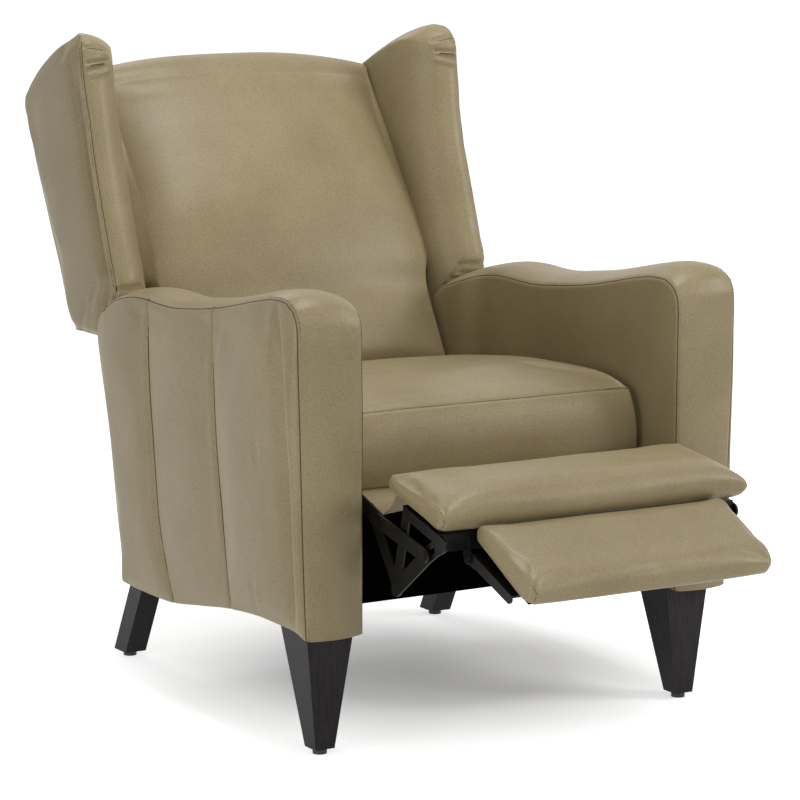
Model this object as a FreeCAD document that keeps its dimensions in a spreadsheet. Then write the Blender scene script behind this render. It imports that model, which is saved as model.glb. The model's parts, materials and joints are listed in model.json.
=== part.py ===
import FreeCAD, Part
import math
import os
import Sketcher
from FreeCAD import Placement, Rotation, Vector

# High leg wing recliner, footrest open and back part reclined.
# Millimetres, +Z up, the chair faces -Y, X = 0 is its plane of symmetry.
# Profiles are drawn with y counted from the front legs' line; every piece is then
# set back by origin_setback, so that the origin lies under the middle of the chair.

SIZES = [
    ("origin_trim", 53.4),
    # arms
    ("arm_gap", 540.0),
    ("arm_width", 119.0),
    ("arm_front", 55.0),
    ("arm_depth", 684.0),
    ("arm_height", 690.0),
    ("arm_underside", 190.0),
    ("arm_puff", 14.0),
    ("arm_side_lean", 21.0),
    ("arm_side_bulge", 11.0),
    ("arm_inner_drop", 10.0),
    ("arm_frame_thick", 45.0),
    ("arm_frame_gap", 15.0),
    ("rail_width", 48.0),
    # legs and base
    ("leg_line", 330.5),
    ("leg_foot", 33.0),
    ("leg_head", 84.0),
    ("leg_head_y", 15.0),
    ("leg_inset", 14.0),
    ("glide_height", 9.0),
    ("glide_radius", 11.0),
    ("rear_leg_line", 303.0),
    ("rear_leg_width", 38.0),
    ("rear_leg_thick", 43.0),
    ("rear_leg_splay", 77.0),
    ("rear_rail_inset", 57.0),
    ("rear_rail_thick", 34.0),
    ("rear_rail_low", 165.0),
    ("rear_rail_high", 238.0),
    ("panel_front", 185.0),
    ("panel_thick", 18.0),
    ("panel_low", 172.0),
    ("panel_high", 350.0),
    # steel linkage
    ("plate_thick", 3.2),
    ("plate_gap", 0.6),
    ("arm_clearance", 2.0),
    ("pin_radius", 4.0),
    ("pin_clearance", 0.1),
    ("pin_head_radius", 8.0),
    ("pin_head_thick", 1.2),
    ("link_width", 24.0),
    ("slot_clearance", 1.3),
    # back hinge and swing links
    ("back_pivot_inset", 41.0),
    ("back_pivot_drop", 170.0),
    ("swing_drop", 95.0),
    ("swing_setback", 8.0),
    ("swing_top_y", 110.0),
    ("swing_top_drop", 270.0),
    # footrest linkage, forward distances from the front legs' line
    ("lift_end_forward", 104.0),
    ("lift_end_z", 264.0),
    ("guide_end_forward", 196.0),
    ("guide_end_z", 332.0),
    ("fold_forward", 49.0),
    ("fold_z", 419.0),
    ("flange_width", 24.0),
    ("lift_pivot_share", 0.258),
    ("guide_pivot_share", 0.2484),
    ("slot_forward", 13.8),
    ("slot_rise", 8.75),
    ("flipper_pivot_forward", 238.0),
    ("flipper_pivot_z", 330.0),
    # seat
    ("seat_rail_z", 388.0),
    ("seat_rail_height", 52.0),
    ("seat_rail_thick", 30.0),
    ("seat_front", 62.0),
    ("seat_past_pivot", 10.0),
    ("seat_side_clearance", 8.5),
    ("seat_rail_stop", 30.0),
    ("strap_width", 50.0),
    ("strap_thick", 1.6),
    ("strap_pitch", 90.0),
    ("cushion_lift", 15.0),
    ("cushion_thick", 70.0),
    ("border_thick", 20.0),
    ("mount_rise", 12.0),
    # back
    ("back_slope", 0.4841),
    ("back_past_pivot", 218.0),
    ("back_thick", 198.0),
    ("back_line_z", 550.0),
    ("back_top_z", 971.0),
    ("back_crown", 28.0),
    ("back_puff", 22.0),
    ("back_half_width", 262.0),
    ("back_low_z", 489.0),
    ("back_panel_low_z", 330.0),
    ("stile_thick", 29.7),
    ("stile_depth", 44.0),
    ("back_rail_height", 46.0),
    ("outside_thick", 13.0),
    ("wing_outer", 355.0),
    ("wing_low_z", 548.0),
    ("wing_height", 498.0),
    ("wing_depth", 282.0),
    ("wing_flare", 33.0),
    ("wing_roll", 15.0),
    ("wing_gap", 0.3),
    # footrest pads
    ("pad_half_width", 259.0),
    ("pad_rear_forward", 100.0),
    ("pad_top_z", 436.0),
    ("pad_length", 159.0),
    ("board_thick", 9.0),
    ("flipper_inset", 51.2),
    ("flipper_length", 154.0),
    ("flipper_thick", 42.0),
    ("flipper_fall", 0.404),
    ("flipper_seat", 10.2),
    ("cross_rail_leg", 26.0),
    ("cross_rail_z", 368.0),
]

doc = FreeCAD.newDocument("high_leg_recliner")
sheet = doc.addObject("Spreadsheet::Sheet", "Sizes")
for row, (alias, value) in enumerate(SIZES, start=1):
    sheet.set("A%d" % row, alias)
    sheet.set("B%d" % row, str(value))
    sheet.setAlias("B%d" % row, alias)
doc.recompute()


class Dim:
    """A length with its value and the spreadsheet formula that it comes from."""

    def __init__(self, value, formula=None):
        self.value = float(value)
        self.formula = formula or "%.6f" % float(value)

    def _join(self, other, sign, value):
        return Dim(value, "(%s %s %s)" % (self.formula, sign, as_dim(other).formula))

    def __add__(self, other):
        return self._join(other, "+", self.value + as_dim(other).value)

    def __sub__(self, other):
        return self._join(other, "-", self.value - as_dim(other).value)

    def __mul__(self, other):
        return self._join(other, "*", self.value * as_dim(other).value)

    def __truediv__(self, other):
        return self._join(other, "/", self.value / as_dim(other).value)

    def __neg__(self):
        return Dim(0) - self

    def __radd__(self, other):
        return as_dim(other) + self

    def __rsub__(self, other):
        return as_dim(other) - self

    def __rmul__(self, other):
        return as_dim(other) * self


def as_dim(number):
    return number if isinstance(number, Dim) else Dim(number)


def size(alias):
    return Dim(sheet.get(alias), "Sizes." + alias)


def bind(thing, path, length):
    thing.setExpression(path, as_dim(length).formula)


# Places that several pieces share.

arm_front_y = -size("arm_front")
arm_depth = size("arm_depth")
arm_rear_y = arm_front_y + arm_depth
origin_setback = arm_depth / 2 - size("origin_trim")
half_gap = size("arm_gap") / 2
touch = Dim(0.2)
plate = size("plate_thick")
layer_step = plate + size("plate_gap")
guide_layer = half_gap - size("arm_clearance") - plate
mount_layer = guide_layer - layer_step
bracket_layer = mount_layer - layer_step
lift_layer = bracket_layer - layer_step
flipper_half = bracket_layer - size("flipper_inset")

arm_top = size("arm_height")
back_pivot = (arm_rear_y - size("back_pivot_inset"), arm_top - size("back_pivot_drop"))
seat_pivot = (back_pivot[0] + size("swing_setback"), back_pivot[1] - size("swing_drop"))
swing_top = (size("swing_top_y"), arm_top - size("swing_top_drop"))
swing_low = (swing_top[0] + size("swing_setback"), swing_top[1] - size("swing_drop"))


def folded(point):
    """Where a point of the open footrest lies once the pad has turned a quarter turn."""
    forward = size("fold_forward") + point[1] - size("fold_z")
    height = size("fold_z") - (point[0] - size("fold_forward"))
    return (forward, height)


def pivot_for(point, share):
    """The seat pivot from which a link reaches a point both open and folded."""
    end = folded(point)
    middle = ((point[0] + end[0]) / 2, (point[1] + end[1]) / 2)
    across = (end[1] - point[1], point[0] - end[0])
    return (middle[0] + across[0] * share, middle[1] + across[1] * share)


def rearward(point):
    """A point given by its forward distance, as a y and z pair."""
    return (-point[0], point[1])


lift_end_forward = (size("lift_end_forward"), size("lift_end_z"))
guide_end_forward = (size("guide_end_forward"), size("guide_end_z"))
lift_end = rearward(lift_end_forward)
guide_end = rearward(guide_end_forward)
lift_pivot = rearward(pivot_for(lift_end_forward, size("lift_pivot_share")))
guide_pivot = rearward(pivot_for(guide_end_forward, size("guide_pivot_share")))
slot_end = (guide_end[0] - size("slot_forward"), guide_end[1] + size("slot_rise"))
flipper_pivot = rearward((size("flipper_pivot_forward"), size("flipper_pivot_z")))

nodes = []


def kept(thing, label):
    """Names a finished sub-part and notes it for the export."""
    thing.Label = label
    nodes.append(thing)
    return thing


# Sketch, pad and board helpers.


def new_body(label):
    body = doc.addObject("PartDesign::Body", label)
    bind(body, "Placement.Base.y", -origin_setback)
    return kept(body, label)


def origin_plane(body, role):
    for feature in body.Origin.OriginFeatures:
        if feature.Role == role:
            return feature
    raise ValueError(role)


def new_sketch(body, role, offset):
    sketch = body.newObject("Sketcher::SketchObject", body.Name + "_sketch")
    sketch.AttachmentSupport = (origin_plane(body, role), [""])
    sketch.MapMode = "FlatFace"
    bind(sketch, "AttachmentOffset.Base.z", offset)
    return sketch


def tie(sketch, kind, geometry, end, length):
    """Fixes one coordinate of a point from the sketch's origin."""
    number = sketch.addConstraint(Sketcher.Constraint(kind, -1, 1, geometry, end, length.value))
    bind(sketch, "Constraints[%d]" % number, length)


def place(sketch, geometry, end, point):
    tie(sketch, "DistanceX", geometry, end, as_dim(point[0]))
    tie(sketch, "DistanceY", geometry, end, as_dim(point[1]))


def flat(point):
    return Vector(as_dim(point[0]).value, as_dim(point[1]).value, 0)


def add_outline(sketch, points):
    """A closed outline of straight edges through the given points."""
    first = sketch.GeometryCount
    count = len(points)
    for index, point in enumerate(points):
        following = points[(index + 1) % count]
        sketch.addGeometry(Part.LineSegment(flat(point), flat(following)))
    for index in range(count):
        joined = Sketcher.Constraint("Coincident", first + index, 2, first + (index + 1) % count, 1)
        sketch.addConstraint(joined)
    for index, point in enumerate(points):
        place(sketch, first + index, 1, point)


def add_bar(sketch, start, end, radius):
    """A bar with round ends about two points."""
    first = sketch.GeometryCount
    a = flat(start)
    b = flat(end)
    turn = math.atan2(b.y - a.y, b.x - a.x)
    side = Vector(-math.sin(turn), math.cos(turn), 0) * radius.value
    up = Vector(0, 0, 1)
    quarter = math.pi / 2
    start_circle = Part.Circle(a, up, radius.value)
    end_circle = Part.Circle(b, up, radius.value)
    sketch.addGeometry(Part.ArcOfCircle(start_circle, turn + quarter, turn + 3 * quarter))
    sketch.addGeometry(Part.LineSegment(a - side, b - side))
    sketch.addGeometry(Part.ArcOfCircle(end_circle, turn - quarter, turn + quarter))
    sketch.addGeometry(Part.LineSegment(b + side, a + side))
    for index in range(4):
        following = first + (index + 1) % 4
        sketch.addConstraint(Sketcher.Constraint("Tangent", first + index, 2, following, 1))
    place(sketch, first, 3, start)
    place(sketch, first + 2, 3, end)
    sketch.addConstraint(Sketcher.Constraint("Equal", first, first + 2))
    number = sketch.addConstraint(Sketcher.Constraint("Radius", first, radius.value))
    bind(sketch, "Constraints[%d]" % number, radius)


def add_circle(sketch, center, radius):
    first = sketch.GeometryCount
    sketch.addGeometry(Part.Circle(flat(center), Vector(0, 0, 1), radius.value))
    place(sketch, first, 3, center)
    number = sketch.addConstraint(Sketcher.Constraint("Radius", first, radius.value))
    bind(sketch, "Constraints[%d]" % number, radius)


def pad_sketch(body, sketch, length, backward=False):
    pad = body.newObject("PartDesign::Pad", body.Name + "_pad")
    pad.Profile = sketch
    bind(pad, "Length", length)
    pad.Reversed = backward
    sketch.Visibility = False
    return pad


def cut_sketch(body, sketch, length):
    pocket = body.newObject("PartDesign::Pocket", body.Name + "_pocket")
    pocket.Profile = sketch
    pocket.SideType = "Symmetric"
    bind(pocket, "Length", length)
    return pocket


SIDES = (("left", -1), ("right", 1))


def steel_plate(label, side, layer, bars, holes, slots=(), flanges=()):
    """A pressed plate in one layer beside the seat, made of bars with round ends."""
    body = new_body(label)
    inner_face = layer * side
    for start, end, width in bars:
        sketch = new_sketch(body, "YZ_Plane", inner_face)
        add_bar(sketch, start, end, as_dim(width) / 2)
        pad_sketch(body, sketch, plate, backward=side < 0)
    for outline, depth in flanges:
        sketch = new_sketch(body, "YZ_Plane", (layer + plate) * side)
        add_outline(sketch, outline)
        pad_sketch(body, sketch, depth, backward=side > 0)
    sketch = new_sketch(body, "YZ_Plane", inner_face)
    for center, radius in holes:
        add_circle(sketch, center, radius)
    for start, end, radius in slots:
        add_bar(sketch, start, end, radius)
    cut_sketch(body, sketch, plate * 4)
    return body


def profile_piece(label, outlines, inner, outer, side=1):
    """A board cut to a side profile, from one x to another."""
    body = new_body(label)
    sketch = new_sketch(body, "YZ_Plane", inner * side)
    for outline in outlines:
        add_outline(sketch, outline)
    pad_sketch(body, sketch, outer - inner, backward=side < 0)
    return body


def board(label, low, high):
    """A plain board between two corners."""
    box = doc.addObject("Part::Box", label)
    bind(box, "Length", as_dim(high[0]) - low[0])
    bind(box, "Width", as_dim(high[1]) - low[1])
    bind(box, "Height", as_dim(high[2]) - low[2])
    bind(box, "Placement.Base.x", low[0])
    bind(box, "Placement.Base.y", as_dim(low[1]) - origin_setback)
    bind(box, "Placement.Base.z", low[2])
    return kept(box, label)


def mirrored(low, high, side):
    """The two corners of a board on one side of the chair, from its right-hand corners."""
    if side > 0:
        return low, high
    return (-high[0], low[1], low[2]), (-low[0], high[1], high[2])


def shaped(label, shape):
    """A piece whose shape is worked out here, set back like the others."""
    feature = doc.addObject("Part::Feature", label)
    feature.Shape = shape
    feature.Placement = Placement(Vector(0, -origin_setback.value, 0), Rotation())
    return kept(feature, label)


def at(x, y, z):
    return Vector(as_dim(x).value, as_dim(y).value, as_dim(z).value)


def closed_wire(*edges):
    """A closed wire from runs of points: two points make a line, three make an arc."""
    made = []
    for run in edges:
        if len(run) == 2:
            made.append(Part.makeLine(run[0], run[1]))
        else:
            made.append(Part.Arc(run[0], run[1], run[2]).toShape())
    return Part.Wire(made)


def mirror_x(shape):
    return shape.mirror(Vector(0, 0, 0), Vector(1, 0, 0))


# Rivets and bolts, all turned about lines along X.

pin_radius = size("pin_radius")
pin_hole = pin_radius + size("pin_clearance")


def hexagon(x, y, z, radius, thick):
    """A flat six-sided bolt head that faces along X."""
    corners = []
    for index in range(6):
        turn = math.pi * index / 3
        corners.append(Vector(x, y + radius * math.cos(turn), z + radius * math.sin(turn)))
    return Part.Face(Part.makePolygon(corners + corners[:1])).extrude(Vector(thick, 0, 0))


def pin(point, start, end, head_at_start, head_at_end):
    """A pin along X from start to end with flat heads outside the ends that have one."""
    along = Vector(1, 0, 0)
    y = point[0].value
    z = point[1].value
    foot = Vector(start.value, y, z)
    shape = Part.makeCylinder(pin_radius.value, end.value - start.value, foot, along)
    thick = size("pin_head_thick").value
    head_radius = size("pin_head_radius").value
    if head_at_start:
        shape = shape.fuse(hexagon(start.value - thick, y, z, head_radius, thick))
    if head_at_end:
        shape = shape.fuse(hexagon(end.value, y, z, head_radius, thick))
    return shape.removeSplitter()


def pin_pair(label, *pins):
    """The same pins on both sides of the chair, as separate solids of one node."""
    both = list(pins) + [mirror_x(one) for one in pins]
    return shaped(label, Part.makeCompound(both))


# Arms: an upholstered pad over a wooden frame with a rail for the swing links.

arm_inner = half_gap
arm_outer = half_gap + size("arm_width")
arm_low = size("arm_underside")
rail = size("rail_width")


def arm_station(low_share, top_share, drop, crown, underside, inset, puff):
    """One leaning section of an arm, from front (share 0) to rear (share 1).

    drop is how far the outer top seam lies under the arm's height, crown is how far
    the top stands over that seam, and inset draws the whole section in at the ends.
    """
    low_y = (arm_front_y + arm_depth * low_share).value
    top_y = (arm_front_y + arm_depth * top_share).value
    low_z = (arm_low + underside).value
    seam_z = (arm_top - drop).value
    lean = (top_y - low_y) / (arm_top - arm_low).value

    def point(x, z):
        return Vector(x, low_y + lean * (z - arm_low.value), z)

    inner_x = arm_inner.value + inset * 0.5
    low_x = (arm_outer - size("arm_side_lean")).value - inset
    top_x = arm_outer.value - inset
    middle_x = (low_x + top_x) / 2 + size("arm_side_bulge").value + puff
    inner_low = point(inner_x, low_z)
    outer_low = point(low_x, low_z)
    outer_middle = point(middle_x, (low_z + seam_z) / 2)
    outer_top = point(top_x, seam_z)
    top_middle = point((inner_x + top_x) / 2, seam_z + crown)
    inner_top = point(inner_x, seam_z - size("arm_inner_drop").value)
    return closed_wire(
        (inner_low, outer_low),
        (outer_low, outer_middle, outer_top),
        (outer_top, top_middle, inner_top),
        (inner_top, inner_low),
    )


def arm_form():
    """The right arm: a rolled front, three sewn channels on its side, a sloping rear.

    Each station gives its shares of the depth below and above, then millimetres.
    """
    puff = size("arm_puff").value
    stations = [
        arm_station(0.000, 0.000, 44, 10, 8, 12, 0),
        arm_station(0.006, 0.004, 26, 13, 3, 6, 0),
        arm_station(0.020, 0.024, 11, 15, 0, 1, 0),
        arm_station(0.041, 0.083, 1, 15, 0, 0, 0),
        arm_station(0.095, 0.150, 4, 16, 7, 0, puff * 0.6),
        arm_station(0.190, 0.238, 16, 16, 9, 0, puff),
        arm_station(0.323, 0.392, 34, 15, 4, 0, 0),
        arm_station(0.399, 0.473, 42, 15, -4, 0, puff),
        arm_station(0.475, 0.554, 47, 14, -9, 0, puff),
        arm_station(0.629, 0.716, 47, 12, -25, 0, 0),
        arm_station(0.757, 0.855, 54, 10, -27, 0, puff * 0.8),
        arm_station(0.835, 0.930, 68, 9, -27, 1, puff * 0.5),
        arm_station(0.868, 0.978, 92, 7, -26, 4, puff * 0.2),
        arm_station(0.885, 1.000, 118, 6, -22, 10, 0),
    ]
    return Part.makeLoft(stations, True, True)


frame_near = arm_inner + size("arm_frame_gap")
frame_far = frame_near + size("arm_frame_thick")
frame_low = arm_low + 15
frame_high = arm_top - 100
rear_rail_front = arm_rear_y - size("rear_rail_inset")
rear_rail_rear = rear_rail_front + size("rear_rail_thick")
frame_front = arm_front_y + 32
bolt_reach = frame_near + 36
swing_rail_low = swing_top[1] - rail / 2
swing_rail_high = swing_top[1] + rail / 2


def arm_frame(label, side):
    """Bottom rail, front post, rear post, top rail and the rail that carries the swing link."""
    post_rear = back_pivot[0] + rail / 2
    post_foot = rear_rail_front - touch
    post_lean = rail / 6
    corner = rail * 0.4
    outer = [
        (frame_front, frame_low),
        (post_foot, frame_low),
        (post_foot, frame_low + rail / 2),
        (post_rear - rail, frame_low + rail),
        (post_rear, back_pivot[1]),
        (post_rear, frame_high - corner),
        (post_rear - rail, frame_high - corner / 2),
        (frame_front, frame_high),
    ]
    front_inner = frame_front + rail
    rear_inner = post_rear - rail * 2
    lower_window = [
        (front_inner, frame_low + rail),
        (rear_inner - post_lean, frame_low + rail),
        (rear_inner, swing_rail_low),
        (front_inner, swing_rail_low),
    ]
    upper_window_top = frame_high - (frame_high - swing_rail_high) / 3
    upper_window = [
        (front_inner, swing_rail_high),
        (rear_inner, swing_rail_high),
        (rear_inner + post_lean, upper_window_top),
        (front_inner, upper_window_top),
    ]
    body = profile_piece(label, [outer, lower_window, upper_window], frame_near, frame_far, side)
    sketch = new_sketch(body, "YZ_Plane", frame_near * side)
    add_circle(sketch, back_pivot, pin_radius)
    add_circle(sketch, swing_top, pin_radius)
    cut_sketch(body, sketch, (bolt_reach - frame_near) * 2)
    return body


def square_ring(x, y, half, z):
    """The four corners of a level square."""
    turns = ((-1, -1), (1, -1), (1, 1), (-1, 1))
    return [at(x + half * a, y + half * b, z) for a, b in turns]


def flat_sided(low, high):
    """A solid with flat faces between two rings of corners."""
    count = len(low)
    outlines = [low, high]
    for index in range(count):
        following = (index + 1) % count
        outlines.append([low[index], low[following], high[following], high[index]])
    faces = [Part.Face(Part.makePolygon(ring + ring[:1])) for ring in outlines]
    return Part.makeSolid(Part.makeShell(faces))


def front_leg(label, side):
    """A square tapered leg, let into the underside of the arm's front corner."""
    foot_half = size("leg_foot") / 2
    head_half = size("leg_head") / 2
    head_x = half_gap + size("leg_inset") + head_half
    head_z = frame_low - touch
    foot = square_ring(size("leg_line") * side, Dim(0), foot_half, size("glide_height"))
    head = square_ring(head_x * side, size("leg_head_y"), head_half, head_z)
    return shaped(label, flat_sided(foot, head))


def rear_leg(label, side):
    """A splayed leg, square above, bolted to the rear face of the rear rail."""
    thick = size("rear_leg_thick")
    front = rear_rail_rear + touch
    rear = front + size("rear_leg_width")
    foot_front = front + size("rear_leg_splay")
    bend_z = size("rear_rail_low") - thick * 0.3
    outline = [
        (foot_front, size("glide_height")),
        (foot_front + thick, size("glide_height")),
        (rear + thick * 0.14, bend_z),
        (rear, bend_z + thick / 2),
        (rear, size("rear_rail_high")),
        (front, size("rear_rail_high")),
        (front, bend_z),
    ]
    inner = size("rear_leg_line") - size("rear_leg_width") / 2
    return profile_piece(label, [outline], inner, inner + size("rear_leg_width"), side)


def glides(label):
    """Four round plastic glides under the legs."""
    rear_y = rear_rail_rear + size("rear_leg_splay") + size("rear_leg_thick") / 2
    radius = size("glide_radius").value
    height = size("glide_height").value
    feet = []
    for x, y in ((size("leg_line"), Dim(0)), (size("rear_leg_line"), rear_y)):
        for side in (-1, 1):
            corner = at(x * side, y, 0)
            feet.append(Part.makeCylinder(radius, height, corner))
    return shaped(label, Part.makeCompound(feet))


arm_cores = {}
for side_name, side in SIDES:
    frame = arm_frame(side_name + "_arm_frame", side)
    leg = front_leg(side_name + "_front_leg", side)
    arm_cores[side] = (frame, leg)
    rear_leg(side_name + "_rear_leg", side)
glides("leg_glides")

board(
    "base_front_panel",
    (touch - half_gap, size("panel_front"), size("panel_low")),
    (half_gap - touch, size("panel_front") + size("panel_thick"), size("panel_high")),
)
board(
    "base_rear_rail",
    (-frame_far, rear_rail_front, size("rear_rail_low")),
    (frame_far, rear_rail_rear, size("rear_rail_high")),
)

# Shoulder bolts in the arm frames carry the back and the swing links.

arm_bolts = [
    pin(back_pivot, guide_layer - 0.3, bolt_reach, True, False),
    pin(swing_top, guide_layer + 0.1, bolt_reach, False, False),
]
pin_pair("arm_pivot_bolts", *arm_bolts)

doc.recompute()


def arm_pad(label, side):
    """The upholstered arm, hollow where its frame, its bolts and the frame's end go."""
    form = arm_form()
    if side < 0:
        form = mirror_x(form)
    for core in arm_cores[side]:
        hollow = core.Shape.copy()
        hollow.translate(Vector(0, origin_setback.value, 0))
        form = form.cut(hollow)
    for point in (back_pivot, swing_top):
        reach = (bolt_reach - half_gap).value + 1.5
        start = Vector(half_gap.value - 1, point[0].value, point[1].value)
        hole = Part.makeCylinder(pin_radius.value + 1, reach, start, Vector(1, 0, 0))
        form = form.cut(hole if side > 0 else mirror_x(hole))
    return shaped(label, form)


for side_name, side in SIDES:
    arm_pad(side_name + "_arm", side)


# Seat: wooden frame, webbing, sprung cushion and front border, on two steel mounts.

seat_front = size("seat_front")
seat_rear = back_pivot[0] + size("seat_past_pivot")
seat_depth = seat_rear - seat_front
seat_rail_z = size("seat_rail_z")
seat_rail_top = seat_rail_z + size("seat_rail_height")
cushion_base = seat_rail_top + size("cushion_lift")
seat_top = cushion_base + size("cushion_thick")
seat_rail_outer = mount_layer - touch
seat_rail_inner = seat_rail_outer - size("seat_rail_thick")
seat_rail_rear = seat_rear - size("seat_rail_stop")
cross_length = seat_rail_inner - touch / 2
cross_low = seat_rail_z + 4

for side_name, side in SIDES:
    low = (seat_rail_inner, seat_front, seat_rail_z)
    high = (seat_rail_outer, seat_rail_rear, seat_rail_top)
    board("seat_%s_rail" % side_name, *mirrored(low, high, side))
board(
    "seat_front_rail",
    (-cross_length, seat_front, cross_low),
    (cross_length, seat_front + size("seat_rail_thick"), seat_rail_top),
)
board(
    "seat_rear_rail",
    (-cross_length, seat_rail_rear - size("seat_rail_thick"), cross_low),
    (cross_length, seat_rail_rear, seat_rail_top),
)


def webbing(label):
    """Straps from front to rear, and straps from side to side laid on them."""
    thick = size("strap_thick").value
    width = size("strap_width").value
    pitch = size("strap_pitch").value
    gap = touch.value / 2
    low = seat_rail_top.value + gap
    front = seat_front.value
    rear = seat_rail_rear.value
    half = seat_rail_outer.value - width / 8
    straps = []
    for index in range(5):
        x = (index - 2) * pitch
        straps.append(Part.makeBox(width, rear - front, thick, Vector(x - width / 2, front, low)))
    for index in range(5):
        y = front + (index + 0.7) * pitch
        corner = Vector(-half, y, low + thick + gap)
        straps.append(Part.makeBox(2 * half, width, thick, corner))
    return shaped(label, Part.makeCompound(straps))


webbing("seat_webbing")


SEAT_DRAW = 5
SEAT_CROWN = 15


def seat_station(y, half_width, side_z, crown_z):
    """One cross section of the seat cushion, crowned and drawn in at its sides."""
    base = cushion_base.value
    low_left = at(SEAT_DRAW - half_width, y, base)
    low_right = at(half_width - SEAT_DRAW, y, base)
    right = at(half_width, y, side_z)
    left = at(-half_width, y, side_z)
    crown = at(0, y, crown_z)
    return closed_wire(
        (low_left, low_right),
        (low_right, right),
        (right, crown, left),
        (left, low_left),
    )


def seat_cushion(label):
    top = seat_top.value
    half = (half_gap - size("seat_side_clearance")).value - 1.6
    front_sink = 27
    rear_sink = 42
    front = seat_front.value
    depth = seat_depth.value
    high_share = 0.16
    stations = []
    for share in (0, 0.05, high_share, 0.45, 0.75, 0.95, 1):
        if share < high_share:
            sink = front_sink * (1 - share / high_share) ** 2
        else:
            sink = rear_sink * ((share - high_share) / (1 - high_share)) ** 1.7
        end_draw = SEAT_DRAW if share in (0, 1) else 0
        side_z = top - SEAT_CROWN - sink * 0.8
        stations.append(seat_station(front + depth * share, half - end_draw, side_z, top - sink))
    return shaped(label, Part.makeLoft(stations, True, True))


seat_cushion("seat_cushion")


def border(label):
    """The leather front band of the seat, leaning with its top seam set back."""
    half = seat_rail_outer.value
    low_z = seat_rail_z.value - 2
    top_z = seat_top.value - 26
    rear = (seat_front - touch).value
    front = rear - size("border_thick").value
    belly = 6
    top_setback = 12

    def section(x, inset):
        low_front = at(x, front - belly / 3 + inset, low_z)
        middle = at(x, front - belly + inset, (low_z + top_z) / 2)
        top_front = at(x, front + top_setback + inset, top_z)
        top_rear = at(x, rear, top_z)
        low_rear = at(x, rear, low_z)
        return closed_wire(
            (low_rear, low_front),
            (low_front, middle, top_front),
            (top_front, top_rear),
            (top_rear, low_rear),
        )

    end_run = 30
    end_inset = 3
    stations = [
        section(-half, end_inset),
        section(end_run - half, 0),
        section(half - end_run, 0),
        section(half, end_inset),
    ]
    return shaped(label, Part.makeLoft(stations, True, True))


border("seat_front_border")

mount_line = seat_rail_z + size("mount_rise")
mount_bar = size("link_width")
mount_brace = mount_bar - 2
for side_name, side in SIDES:
    front_end = (seat_front - mount_bar / 3, mount_line)
    rear_end = (seat_rail_rear - mount_bar / 3, mount_line)
    bars = [
        (front_end, rear_end, mount_bar),
        (front_end, guide_pivot, mount_bar),
        ((swing_low[0] - mount_bar, mount_line), swing_low, mount_brace),
        ((swing_low[0] + mount_bar, mount_line), swing_low, mount_brace),
        ((rear_end[0] - mount_bar, mount_line), seat_pivot, mount_brace),
    ]
    holes = [
        (lift_pivot, pin_radius),
        (guide_pivot, pin_radius),
        (swing_low, pin_radius),
        (seat_pivot, pin_hole),
    ]
    steel_plate(side_name + "_seat_mount", side, mount_layer, bars, holes)

# Swing links hang from the arms and carry the front of the seat.

for side_name, side in SIDES:
    bars = [(swing_top, swing_low, size("link_width"))]
    holes = [(swing_top, pin_hole), (swing_low, pin_hole + 0.15)]
    steel_plate(side_name + "_swing_link", side, guide_layer, bars, holes)

# Footrest links, brackets and cross rail.

pad_reach = size("pad_rear_forward") + size("pad_length")
pad_rear = -size("pad_rear_forward")
pad_front = -pad_reach
pad_top = size("pad_top_z")
under_rear = (pad_rear + 9, pad_top - 24)
under_front = (pad_front + 19, pad_top - 64)
under_slope = (under_front[1] - under_rear[1]) / (under_front[0] - under_rear[0])


def under_pad(forward, down):
    """A point a given distance down from the pad's underside."""
    y = -as_dim(forward)
    z = under_rear[1] + under_slope * (y - under_rear[0]) - down
    return (y, z)


board_drop = size("board_thick") + touch * 2
flange_near = under_pad(size("lift_end_forward") + 22, board_drop)
flange_far = under_pad(pad_reach - 55, board_drop)

for side_name, side in SIDES:
    link = size("link_width")
    steel_plate(
        side_name + "_lift_link", side, lift_layer,
        [(lift_pivot, lift_end, link - 2)],
        [(lift_pivot, pin_hole), (lift_end, pin_hole)],
    )
    steel_plate(
        side_name + "_guide_link", side, guide_layer,
        [(guide_pivot, guide_end, link - 2)],
        [(guide_pivot, pin_hole), (guide_end, pin_radius)],
    )
    nose = (-size("flipper_pivot_forward") + 4, size("cross_rail_z") - 16)
    upper_near = under_pad(size("lift_end_forward") + 31, board_drop + 9)
    upper_far = under_pad(pad_reach - 33, board_drop + 9)
    bars = [
        (lift_end, guide_end, link),
        (guide_end, slot_end, link),
        (slot_end, nose, link - 2),
        (upper_near, upper_far, 16),
        (upper_far, nose, 18),
        (upper_near, lift_end, link - 4),
    ]
    flange = [
        flange_near,
        flange_far,
        (flange_far[0], flange_far[1] - plate),
        (flange_near[0], flange_near[1] - plate),
    ]
    steel_plate(
        side_name + "_footrest_bracket", side, bracket_layer, bars,
        [(lift_end, pin_radius)],
        slots=[(guide_end, slot_end, pin_radius + size("slot_clearance"))],
        flanges=[(flange, plate + size("flange_width"))],
    )


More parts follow.
